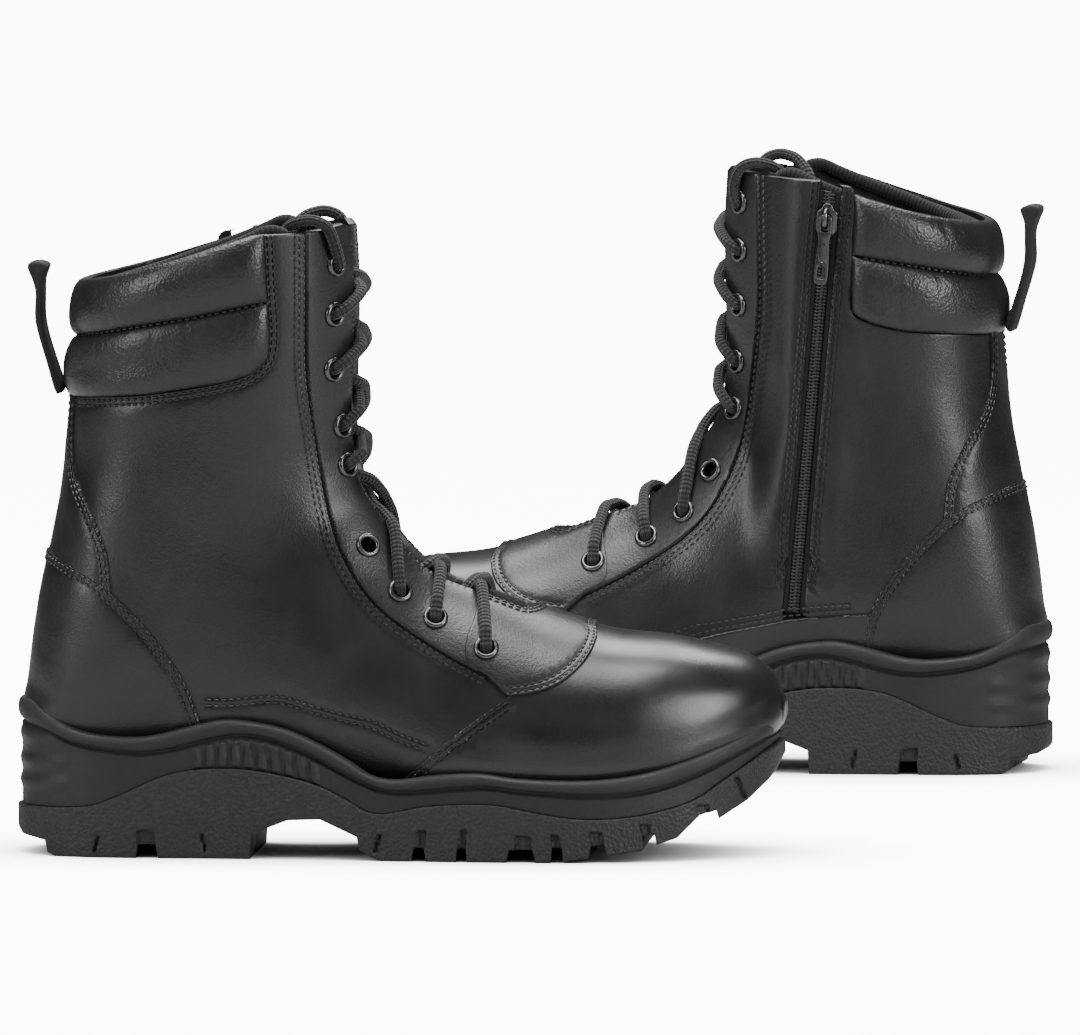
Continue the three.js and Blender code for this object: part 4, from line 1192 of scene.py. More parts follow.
@dataclass
class Softs:
    """The padded and woven pieces inside and round the top of one boot.

    Attributes:
        bulge: How far the collar's rolls swell.
        tongue_offset: Height of the tongue's face under the last's surface.
    """

    bulge: float = 5.0
    tongue_offset: float = -9.6

    def level(self, line: list[tuple[float, float]], phi: Array, bottom: float = 12.5) -> Array:
        """Finds where turns meet a side view line.

        Args:
            line: Points as X and Z.
            phi: Turns.
            bottom: Lowest station looked at.

        Returns:
            Station numbers.
        """
        x, z = np.array(line).T
        low, high = np.full(len(phi), bottom), np.full(len(phi), 18.9)
        for _ in range(28):
            middle = (low + high) / 2
            p = LAST.surface(middle, phi)
            under = p[:, 2] < np.interp(p[:, 0], x, z)
            low, high = np.where(under, middle, low), np.where(under, high, middle)
        return low

    def roll(self, lower: list, upper: list, seed: int, swell: float) -> Body:
        """Makes one padded roll of the collar, from its outer end round the back to the zip.

        Args:
            lower: Side view line of its lower seam.
            upper: Side view line of its upper seam.
            seed: Start of its random creases.
            swell: Share of the full bulge.

        Returns:
            Its body.
        """
        borders = [LAST.locate(resample(np.array(line, float), 2.0), side)
                   for line, side in (([*COLLAR_BORDER[:3], (104.6, 200)], Side.OUTER),
                                      (ZIP_COLLAR[1:5], Side.INNER))]
        first, last = (behind(border)[np.argsort(border[:, 0])] for border in borders)
        middle_s = float(np.mean(LAST.locate([(90, 222)], Side.OUTER)[:, 0]))
        columns, rows = 300, 34
        phi = np.linspace(np.interp(middle_s, *first.T), np.interp(middle_s, *last.T), columns)
        below = self.level(lower, phi)
        if lower is COLLAR_BOTTOM:
            below = np.where(phi < math.pi, self.level([*lower[:2], *INNER_CORNER], phi), below)
        s0, s1 = below + 0.01, self.level(upper, phi) - 0.01
        length = lengths_of(LAST.surface((s0 + s1) / 2, phi))
        rng = np.random.default_rng(seed)
        v = 0.5 - 0.5 * np.cos(np.linspace(0, math.pi, rows))
        s = s0[None] + (s1 - s0)[None] * v[:, None]
        share = np.linspace(0, 1, columns)[None]
        turn = np.interp(s, *first.T) * (1 - share) + np.interp(s, *last.T) * share
        near = np.clip(np.minimum(length, length[-1] - length) / 9, 0, 1)
        ends = np.sqrt(1 - (1 - near) ** 2)
        round_ = np.sqrt(np.maximum(0, 1 - (2 * v - 1) ** 2))[:, None]
        height = 0.6 + self.bulge * swell * round_ * (0.12 + 0.88 * ends[None])
        gather = np.zeros_like(height)
        for _ in range(60):
            at, width, depth = rng.uniform(0, length[-1]), rng.uniform(1.0, 2.4), rng.uniform(0.06, 0.34)
            edge, reach = rng.integers(0, 2), rng.uniform(0.2, 0.42)
            lean = at + rng.uniform(-6, 6) * (v[:, None] - edge)
            fade = np.exp(-((v[:, None] - edge) / reach) ** 2)
            gather -= depth * fade * np.exp(-((length[None] - lean) / width) ** 2)
        for _ in range(14):
            at, width = rng.uniform(0, length[-1]), rng.uniform(9, 24)
            middle, depth = rng.uniform(0.3, 0.7), rng.uniform(-0.5, 0.35)
            gather += depth * np.exp(-((length[None] - at) / width) ** 2
                                     - ((v[:, None] - middle) / 0.22) ** 2)
        height = height + gather * round_
        outer = LAST.place(s.ravel(), turn.ravel(), height.ravel()).reshape(rows, columns, 3)
        inner = LAST.place(s.ravel(), turn.ravel(), -1.7).reshape(rows, columns, 3)
        uv = np.stack(np.broadcast_arrays(length[None], v[:, None] * 24), axis=2)
        body = Body()
        slab(body, outer, inner, uv)
        return body

    def tongue(self) -> Body:
        """Makes the padded tongue behind the lace.

        Returns:
            Its body.
        """
        rows, columns = 150, 56
        v = np.linspace(0, 1, rows)
        u = np.linspace(-1, 1, columns)
        s = np.broadcast_to((4.9 + 12.35 * v)[:, None], (rows, columns))
        phi = np.broadcast_to(1.0 * u[None], (rows, columns))
        side_fall = np.sqrt(np.maximum(0, 1 - np.abs(u) ** 8))
        end_fall = np.sqrt(np.maximum(0, 1 - np.abs(2 * v - 1) ** 60))
        edge = side_fall[None] * end_fall[:, None]
        quilt = 0.25 * np.sin(v * 41)[:, None]
        height = self.tongue_offset - 1.6 + (1.9 + quilt * 0.6) * edge
        outer = LAST.place(s.ravel(), phi.ravel(), height.ravel()).reshape(rows, columns, 3)
        inner = LAST.place(s.ravel(), phi.ravel(), (self.tongue_offset - 1.8 - 1.7 * edge).ravel())
        uv = np.stack(np.broadcast_arrays(v[:, None] * 205, u[None] * 42), axis=2)
        body = Body()
        slab(body, outer, inner.reshape(rows, columns, 3), uv)
        return body

    def lining(self) -> Body:
        """Makes the lining of the shaft and the foot.

        Returns:
            Its body.
        """
        front = drawn(FACING_REAR, Side.INNER, False)
        order = np.argsort(front[:, 0])
        rows, columns = 130, 110
        top_line = [(0, 221), (28, 228), (71, 238.6), (99, 247.5), (118, 251)]
        v, u = np.linspace(0, 1, rows), np.linspace(0, 1, columns)
        start = 0.6
        top_phi = np.interp(18.0, front[order, 0], front[order, 1])
        phi_top = top_phi + 0.02 + (2 * math.pi - 2 * top_phi - 0.04) * u
        top = self.level(top_line, phi_top)
        s = start + (top[None] - start) * v[:, None]
        edge = np.interp(s, front[order, 0], front[order, 1], left=0.0) + 0.03
        edge = edge * np.clip((s - 4.6) / 0.7, 0, 1)
        phi = edge + (2 * math.pi - 2 * edge) * u[None]
        outer = LAST.place(s.ravel(), phi.ravel(), -3.7).reshape(rows, columns, 3)
        inner = LAST.place(s.ravel(), phi.ravel(), -4.8).reshape(rows, columns, 3)
        uv = np.stack(np.broadcast_arrays(v[:, None] * 330, u[None] * 280), axis=2)
        body = Body()
        slab(body, outer, inner, uv)
        return body

    def lining_edge(self) -> Body:
        """Makes the padded, ribbed edge that the lining ends in at the top.

        Returns:
            Its body.
        """
        line = [(117.5, 246), (112.5, 250), (106, 251.2), (98, 248), (86, 243.4), (71, 238.2),
                (50, 231.8), (26, 227)]
        outer = behind(LAST.locate(resample(np.array(line, float), 2.0), Side.OUTER))
        inner = LAST.locate(resample(np.array(line, float), 2.0), Side.INNER)
        inner, outer = inner[inner[:, 1] < 3.0], outer[outer[:, 1] > 3.28]
        places = np.vstack([inner, outer[::-1]])
        path = LAST.place(places[:, 0], places[:, 1], -5.6) - [0, 0, 0.9]
        path = resample(path, 1.2)
        body = Body()
        far = np.minimum(np.arange(len(path)), np.arange(len(path))[::-1])
        size = 2.7 * np.sqrt(np.clip(far / 6, 0.05, 1))
        body.tube(path, size, sides=20, flatten=1.0)
        return body

    def footbed(self) -> Body:
        """Makes the covered footbed.

        Returns:
            Its body.
        """
        s = np.linspace(10.2, 0.9, 90)
        bx, bz, _, _, half, _, _, _, shift = LAST.profile(s).T
        u = np.linspace(-1, 1, 41)
        crown = (1 - np.abs(u) ** 5)[None]
        top_half, low_half = (half - 6.4)[:, None], (half * 0.88 - 6.2)[:, None]
        x = np.broadcast_to(bx[:, None], (90, 41))
        outer = np.stack([x, shift[:, None] + top_half * u, bz[:, None] + 8.4 + 1.4 * crown], axis=2)
        inner = np.stack([x, shift[:, None] + low_half * u, np.broadcast_to(bz[:, None] + 5.2, (90, 41))],
                         axis=2)
        body = Body()
        uv = np.stack([x, shift[:, None] + top_half * u], axis=2)
        slab(body, outer, inner, uv)
        return body

    def pull_loop(self) -> Body:
        """Makes the ribbed webbing loop at the back.

        Returns:
            Its body.
        """
        line = np.array([(18.4, 184), (16.2, 184.5), (12.8, 196), (9.8, 206), (8.1, 214), (8.3, 224),
                         (6.9, 229.5), (5.3, 233.4), (5.5, 235.6), (8.2, 236.4), (11.2, 236.0),
                         (12.9, 234.9), (12.6, 233.2), (11.3, 229), (11.1, 222), (11.2, 214), (12.8, 206),
                         (15.9, 196), (18.9, 187), (18.4, 184)], float)
        profile = resample(line, 0.55)[:-1]
        centre = profile.mean(0)
        flat = np.gradient(np.vstack([profile[-1:], profile, profile[:1]]), axis=0)[1:-1]
        out = unit(np.stack([flat[:, 1], -flat[:, 0]], axis=1))
        out *= np.sign(((profile - centre) * out).sum())
        y = np.concatenate([[-9.1, -9.0, -8.75], np.linspace(-8.4, 8.4, 85), [8.75, 9.0, 9.1]])
        shrink = np.interp(np.abs(y), [0, 8.4, 8.75, 9.0, 9.1], [0, 0, 0.25, 0.6, 0.95])
        ribs = 0.16 * np.cos(y * 2 * math.pi / 1.5) * (np.abs(y) < 8.2)
        lengths = np.arange(len(profile)) * 0.55
        weave = 0.05 * np.cos(lengths * 2 * math.pi / 1.1)
        rows = []
        for k, across in enumerate(y):
            moved = profile + out * (ribs[k] - shrink[k] + weave)[:, None]
            rows.append(np.stack([moved[:, 0], np.full(len(moved), across), moved[:, 1]], axis=1))
        body = Body()
        grid = np.array(rows)
        uv = np.stack(np.broadcast_arrays(lengths[None], y[:, None]), axis=2)
        body.grid(grid, wrap=True, caps=True, uv=uv)
        return body


@dataclass
class Sole:
    """The rubber sole: a rounded bead, the midsole wall and the cleated outsole.

    Attributes:
        bead: How far the bead stands proud.
        groove: Depth of the groove under it.
    """

    bead: float = 1.5
    groove: float = 1.3
    plan_outer: tuple = ((0.3, 0), (2, -13), (7, -24), (20, -34.5), (42, -40.5), (75, -42), (105, -44),
                         (138, -48), (172, -52), (204, -54.5), (236, -53.5), (266, -45), (288, -30.5),
                         (302, -14), (308, 8))
    plan_inner: tuple = ((0.3, 0), (2, 13), (7, 24), (20, 34.5), (42, 40.5), (75, 42), (105, 44), (138, 46.5),
                         (172, 50), (204, 54.5), (236, 56.5), (266, 53), (288, 44.5), (302, 31), (308, 8))
    bead_low: tuple = ((-10, 56), (11, 51), (26, 45.6), (45, 42.5), (62, 43), (92, 49.5), (115, 44.4),
                       (140, 32), (156, 27.6), (189, 30), (206, 28.4), (232, 26.8), (254, 28), (275, 34),
                       (296, 44), (320, 56))
    wave: tuple = ((-10, 19.5), (27, 20), (41, 23.6), (66, 34), (91, 36), (112, 33), (126, 29), (136, 24),
                   (148, 18.7), (168, 22), (193, 23), (211, 20), (227, 17.6), (243, 17.6), (259, 19.7),
                   (275, 24.5), (288, 33), (320, 54))
    tread: tuple = ((-10, 12), (0.3, 11.4), (3.4, 8), (13.6, 6.2), (14.6, 1.6), (18, 0), (51, 0),
                    (51.8, 5.6), (59, 5.6), (60, 0), (96.7, 0), (97.4, 10), (112, 15.7), (125, 16.3),
                    (140, 9.5), (141, 4.5), (145, 2), (150, 0), (162, 0), (163, 5.5), (167, 5.5),
                    (168, 0), (180, 0), (180.4, 5.5), (184, 5.5), (184.4, 0), (200, 0), (201.4, 5.2),
                    (210.6, 5.2), (212, 0), (218, 0.2), (218.5, 6), (222.5, 6), (223, 0.7), (233, 1.9),
                    (234, 6.6), (239.4, 7.2), (240.4, 2.8), (254, 4.7), (254.4, 10.5), (259, 11.4),
                    (260, 7), (268, 9.6), (276, 17.5), (283, 20), (284, 16.5), (295, 23.4), (303, 31),
                    (310, 44))

    @staticmethod
    def smooth(line: tuple, x: Array) -> Array:
        """Reads a side view line's height over X, with soft corners.

        Args:
            line: Points as X and Z.
            x: Where it is read.

        Returns:
            The heights.
        """
        dense = resample(np.array(line, float), 1.0)
        return np.interp(x, dense[:, 0], dense[:, 1])

    def columns(self) -> tuple[Array, Array, Array]:
        """Spaces stations from heel to toe, closer at the ends and at every lug.

        Returns:
            X of each station and the sole's half outlines there, outer and inner.
        """
        turn = np.linspace(0, math.pi, 420)
        x = 154.15 - 153.85 * np.cos(turn)
        steps = [v for px, _ in self.tread[1:-1] for v in (px - 0.12, px, px + 0.12)]
        x = np.unique(np.round(np.concatenate([x, steps]), 3))
        x = x[(x >= 0.3) & (x <= 308)]
        sides = []
        for plan in (self.plan_outer, self.plan_inner):
            dense = resample(np.array(plan, float), 0.7)
            keep = np.maximum.accumulate(dense[:, 0])
            sides.append(np.interp(x, keep, dense[:, 1]))
        return x, sides[0], sides[1]

    def ring(self, inset: Array, x: Array, outer: Array, inner: Array) -> tuple[Array, Array]:
        """Draws the sole's outline once round, moved inwards.

        Args:
            inset: Distance moved inwards at each station of the way round.
            x: X of the stations.
            outer: Outer half outline.
            inner: Inner half outline.

        Returns:
            X and Y of the way round, heel over the outer side to the toe and back.
        """
        px = np.concatenate([x, x[::-1][1:-1]])
        py = np.concatenate([outer, inner[::-1][1:-1]])
        tangent = np.stack([np.roll(px, -3) - np.roll(px, 3), np.roll(py, -3) - np.roll(py, 3)], axis=1)
        normal = unit(np.stack([-tangent[:, 1], tangent[:, 0]], axis=1))
        return px + normal[:, 0] * inset, py + normal[:, 1] * inset

    def midsole(self) -> Body:
        """Makes the bead, the groove under it and the grained wall with its fins.

        Returns:
            Its body.
        """
        x, outer, inner = self.columns()
        way = np.concatenate([x, x[::-1][1:-1]])
        top, low, wave = (self.smooth(line, way) for line in (BEAD_TOP, self.bead_low, self.wave))
        rows: list[tuple[Array, Array]] = [(top - 3.0, np.full(len(way), 9.5)),
                                           (top - 0.35, np.full(len(way), 7.0)),
                                           (top + 0.05, np.full(len(way), 4.4))]
        middle, half = (top + low) / 2, (top - low) / 2
        for angle in np.linspace(math.pi / 2, -math.pi / 2, 13):
            reach = (1 - math.cos(angle)) * 2.6
            rows.append((middle + half * math.sin(angle) * 0.98, np.full(len(way), reach)))
        rows.append((low - 0.5, np.full(len(way), self.bead + self.groove)))
        body_top = low - 1.6
        for share in np.linspace(0, 1, 22):
            z = body_top + (wave + 0.3 - body_top) * share
            zone = np.clip((way - 74) / 2, 0, 1) * np.clip((127 - way) / 2, 0, 1)
            fin = 0.5 + 0.5 * np.tanh(3.2 * np.sin((way - 74) * 2 * math.pi / 5.2 + (z - 40) * 0.12))
            band = np.clip(share / 0.1, 0, 1) * np.clip((1 - share) / 0.1, 0, 1)
            ridge = np.zeros(len(way))
            for height in (48, 37.5, 29):
                ridge += np.clip(1 - np.abs(z - height) / 2.6, 0, 1) ** 0.5 * np.clip((24 - way) / 4, 0, 1)
            inset = self.bead + 0.25 - zone * fin * band * 1.3 - 0.9 * ridge * band
            rows.append((z, inset))
        rows.append((wave + 0.3, np.full(len(way), 8.0)))
        grid = []
        for z, inset in rows:
            px, py = self.ring(inset, x, outer, inner)
            grid.append(np.stack([px, py, z], axis=1))
        body = Body()
        body.grid(np.array(grid)[::-1], wrap=True, flip=False)
        return body

    def outsole(self) -> Body:
        """Makes the outsole with its lugs and notches.

        Returns:
            Its body.
        """
        x, outer, inner = self.columns()
        way = np.concatenate([x, x[::-1][1:-1]])
        wave = self.smooth(self.wave, way)
        line = np.array(self.tread, float)
        foot = np.interp(way, line[:, 0], line[:, 1])
        foot = np.minimum(foot, wave - 0.6)
        rows = [(wave - 0.2, np.full(len(way), 8.0)), (wave, np.full(len(way), 1.6)),
                (wave, np.full(len(way), 0.55)), (wave - 0.4, np.full(len(way), 0.1))]
        for share in np.linspace(0.02, 1, 24):
            z = (wave - 0.5) + (foot - wave + 0.5) * share
            notch = np.zeros(len(way))
            for at, width, low, high, lean in self.notches():
                gap = np.abs(way - at - lean * (z - low)) - width / 2
                across = np.clip(-gap / 0.5, 0, 1)
                notch += across * np.clip((z - low) / 0.6, 0, 1) * np.clip((high - z) / 0.6, 0, 1)
            inset = 1.7 * np.clip(notch, 0, 1) + 0.35 * np.clip((share - 0.97) / 0.03, 0, 1)
            rows.append((z, inset))
        grid = []
        for z, inset in rows:
            px, py = self.ring(np.asarray(inset), x, outer, inner)
            grid.append(np.stack([px, py, z], axis=1))
        body = Body()
        body.grid(np.array(grid)[::-1], wrap=True, flip=False)
        count = len(x)
        low_ring = grid[-1]
        a = low_ring[:count]
        b = np.vstack([low_ring[:1], low_ring[count:][::-1], low_ring[count - 1:count]])
        across = np.linspace(0, 1, 9)[None, :, None]
        floor = a[:, None] * (1 - across) + b[:, None] * across
        body.grid(floor, flip=False)
        roof = np.array(grid[0])
        a2, b2 = roof[:count], np.vstack([roof[:1], roof[count:][::-1], roof[count - 1:count]])
        body.grid(a2[:, None] * (1 - across) + b2[:, None] * across, flip=True)
        return body

    @staticmethod
    def notches() -> list[tuple[float, float, float, float, float]]:
        """Lists the cuts in the side of the lugs.

        Returns:
            X, width, lowest and highest Z and lean of each.
        """
        cuts = [(27, 1.6, 19.5, 40, 0.05), (34, 1.8, 2, 9, 0.25), (55.3, 7.5, 5, 11, -0.1),
                (79, 1.8, 2, 10, -0.2)]
        cuts += [(147, 2.4, 3, 11, 0.3), (165, 3.6, 3, 12.5, 0.16), (182.2, 3.4, 3, 13, 0.06),
                 (207, 6.4, 3, 11, 0.0)]
        cuts += [(220.5, 3.6, 3, 11.5, -0.1), (237, 5.2, 5, 12.5, -0.16), (256.8, 4.0, 8, 15.5, -0.25)]
        cuts += [(279.5, 5.0, 15, 22.5, -0.3), (294, 2.0, 24, 33, -0.4)]
        return cuts


def plate(body: Body, outline: Array, holes: list[Array], low: float, high: float, rim: float,
          lift: Callable[[Array, Array], Array]) -> None:
    """Adds a flat plate with rounded edges.

    Args:
        body: The body that takes it.
        outline: Flat loop.
        holes: Flat loops cut out of it.
        low: Height of its lower face.
        high: Height of its upper face.
        rim: Radius of its edges.
        lift: Turns flat points and heights into points of the boot.
    """
    def deep(points: Array) -> Array:
        """Puts flat points at height 0."""
        return np.hstack([points, np.zeros((len(points), 1))])

    loops = [outline, *holes]
    rim_points = deep(np.vstack(loops))
    rows = []
    for loop in loops:
        tangent = unit(np.roll(loop, -1, axis=0) - np.roll(loop, 1, axis=0))
        side = np.stack([-tangent[:, 1], tangent[:, 0]], axis=1)
        rows.extend(loop + side * d for d in (-rim, -rim * 0.5, -rim * 0.15, rim * 0.15, rim * 0.5, rim))
    near = np.vstack(rows)
    near = near[within(near, loops)]
    near = near[distances(deep(near), rim_points) > rim * 0.12]
    flat, tris, _ = filled(np.vstack([*loops, near]), loops)
    edge = 1 - np.clip(distances(deep(flat), rim_points) / rim, 0, 1)
    fall = rim * (1 - np.sqrt(np.maximum(0, 1 - edge ** 2)))
    shell(body, lift(flat, high - fall), lift(flat, low + fall), tris)


@dataclass
class Zip:
    """The side zip with its coil, tapes, slider and puller.

    Attributes:
        slider_from_top: Distance of the slider from the zip's upper end.
        pin: Height of the puller's plate over the zip's middle plane.
    """

    slider_from_top: float = 22.0
    pin: float = 5.5

    def __post_init__(self) -> None:
        """Finds the zip's own directions on the last."""
        places = LAST.locate(ZIP_LINE, Side.INNER)
        self.foot, head = LAST.surface(*places.T)
        self.length = float(np.linalg.norm(head - self.foot))
        self.up = (head - self.foot) / self.length
        self.out = unit(np.array([0.0, 1.0, 0.0]) - self.up * self.up[1])
        self.forward = np.cross(self.out, self.up)

    def at(self, forward: Array, out: Array, along: Array) -> Array:
        """Gives points in the zip's own frame.

        Args:
            forward: Distance towards the toe.
            out: Distance outwards.
            along: Distance up the zip.

        Returns:
            Points of the boot.
        """
        f, o, a = (np.asarray(v, float)[..., None] for v in np.broadcast_arrays(forward, out, along))
        return self.foot + f * self.forward + o * self.out + a * self.up

    def tape(self, sign: int) -> Body:
        """Makes one tape.

        Args:
            sign: 1 for the front tape and -1 for the rear one.

        Returns:
            Its body.
        """
        along = np.linspace(0.4, self.length - 4, 240)
        across = np.linspace(2.7, 6.6, 12)
        wave = 0.12 * np.sin(along[:, None] / 6.5 + across[None]) * ((across[None] - 2.7) / 4)
        outer = self.at(sign * across[None], 0.02 + wave, along[:, None])
        inner = self.at(sign * across[None], -0.75 + wave, along[:, None])
        body = Body()
        uv = np.stack(np.broadcast_arrays(along[:, None], across[None]), axis=2)
        slab(body, outer if sign < 0 else outer[:, ::-1], inner if sign < 0 else inner[:, ::-1], uv)
        return body

    def coil(self) -> Body:
        """Makes the closed chain: turns of the coil and the cords that hold them.

        Returns:
            Its body.
        """
        body = Body()
        bend = np.linspace(0, 1, 6)
        for k, along in enumerate(np.arange(1.0, self.length - 4.6, 0.72)):
            sign = 1 if k % 2 else -1
            forward = sign * (-0.55 + 2.75 * bend)
            out = 0.15 + 0.5 * np.sin(np.pi * np.clip(bend * 1.05 + 0.05, 0, 1))
            body.tube(self.at(forward, out, along + 0.25 * sign * bend), 0.34, sides=6)
        along = np.linspace(0.5, self.length - 4.2, 200)
        for forward in (-1.55, 1.55):
            body.tube(self.at(forward, 0.62 + 0.06 * np.sin(along * 8.7), along), 0.22, sides=6)
        body.tube(self.at(0, -0.5, along), 0.45, sides=8)
        return body

    def slider(self) -> Body:
        """Makes the slider: a shield with raised flanks and the bridge that holds the puller.

        Returns:
            Its body.
        """
        start = self.length - self.slider_from_top
        half = [(0.0, 13.0), (1.3, 12.8), (2.0, 11.9), (2.6, 10.6), (3.9, 9.6), (4.4, 8.2), (4.45, 5.6),
                (4.2, 3.0), (3.9, 1.2), (3.2, 0.35), (1.8, 0.1), (0.0, 0.0)]
        right = resample(np.array(half), 0.35)
        outline = np.vstack([right, (right * [-1, 1])[::-1][1:-1]])
        body = Body()

        def lift(flat: Array, height: Array) -> Array:
            """Sets flat points on the zip, with a slight crown across."""
            crown = 0.35 * (1 - (flat[:, 0] / 4.6) ** 2)
            return self.at(flat[:, 0], height + crown, flat[:, 1] + start)

        plate(body, outline, [], 1.6, 2.75, 0.35, lift)
        for sign in (-1, 1):
            flank = np.array([(3.55, 1.4), (4.45, 1.6), (4.5, 8.4), (3.6, 9.2), (3.55, 1.4)]) * [sign, 1]
            plate(body, resample(flank, 0.4, False)[:-1], [], 0.3, 2.0, 0.25,
                  lambda flat, height: self.at(flat[:, 0], height, flat[:, 1] + start))
        arch = np.array([(2.6, 2.6), (3.1, 4.2), (3.6, 6.2), (4.6, 7.3), (6.6, 7.8), (8.8, 7.4), (10.2, 6.2),
                         (10.9, 4.3), (11.2, 2.6)])
        line = resample(arch, 0.4)
        body.tube(self.at(0, line[:, 1], line[:, 0] + start), 0.95, sides=14, flatten=0.62)
        return body

    def puller(self) -> Body:
        """Makes the puller: an eye round the bridge and a long plate with a window.

        Returns:
            Its body.
        """
        start = self.length - self.slider_from_top
        half = [(0.0, 8.5), (1.6, 8.2), (2.6, 7.3), (2.95, 5.8), (2.9, 2.0), (2.6, -0.6), (2.3, -2.4),
                (2.5, -6.0), (2.9, -12.0), (2.95, -17.0), (2.5, -19.8), (1.4, -20.9), (0.0, -21.0)]
        right = resample(np.array(half), 0.4)
        outline = np.vstack([right, (right * [-1, 1])[::-1][1:-1]])

        def slot(low: float, high: float, wide: float, narrow: float) -> Array:
            """Gives the outline of a hole with two widths."""
            pts = [(0, high), (wide * 0.8, high - 0.4), (wide, high - 1.2), (narrow, low + 1.0),
                   (narrow * 0.8, low + 0.2), (0, low)]
            part = resample(np.array(pts, float), 0.35)
            return np.vstack([part, (part * [-1, 1])[::-1][1:-1]])

        holes = [slot(1.2, 6.9, 1.65, 1.6), slot(-18.4, -12.6, 1.5, 1.7)]
        body = Body()
        plate(body, outline, holes, self.pin - 0.7, self.pin + 0.7, 0.32,
              lambda flat, height: self.at(flat[:, 0], height, flat[:, 1] + start))
        turn = np.linspace(0, 2 * math.pi, 60)[:-1]
        frame_line = np.stack([1.75 * np.cos(turn), -7.6 + 3.9 * np.sin(turn)], axis=1)
        body.tube(self.at(frame_line[:, 0], self.pin + 0.72, frame_line[:, 1] + start), 0.22, sides=6)
        return body


class Pattern(Enum):
    """What a finish's surface is made of."""

    GRAIN = "grain"
    RUBBER = "rubber"
    DOTS = "dots"
    WEAVE = "weave"
    RIBS = "ribs"
    BRAID = "braid"
    METAL = "metal"


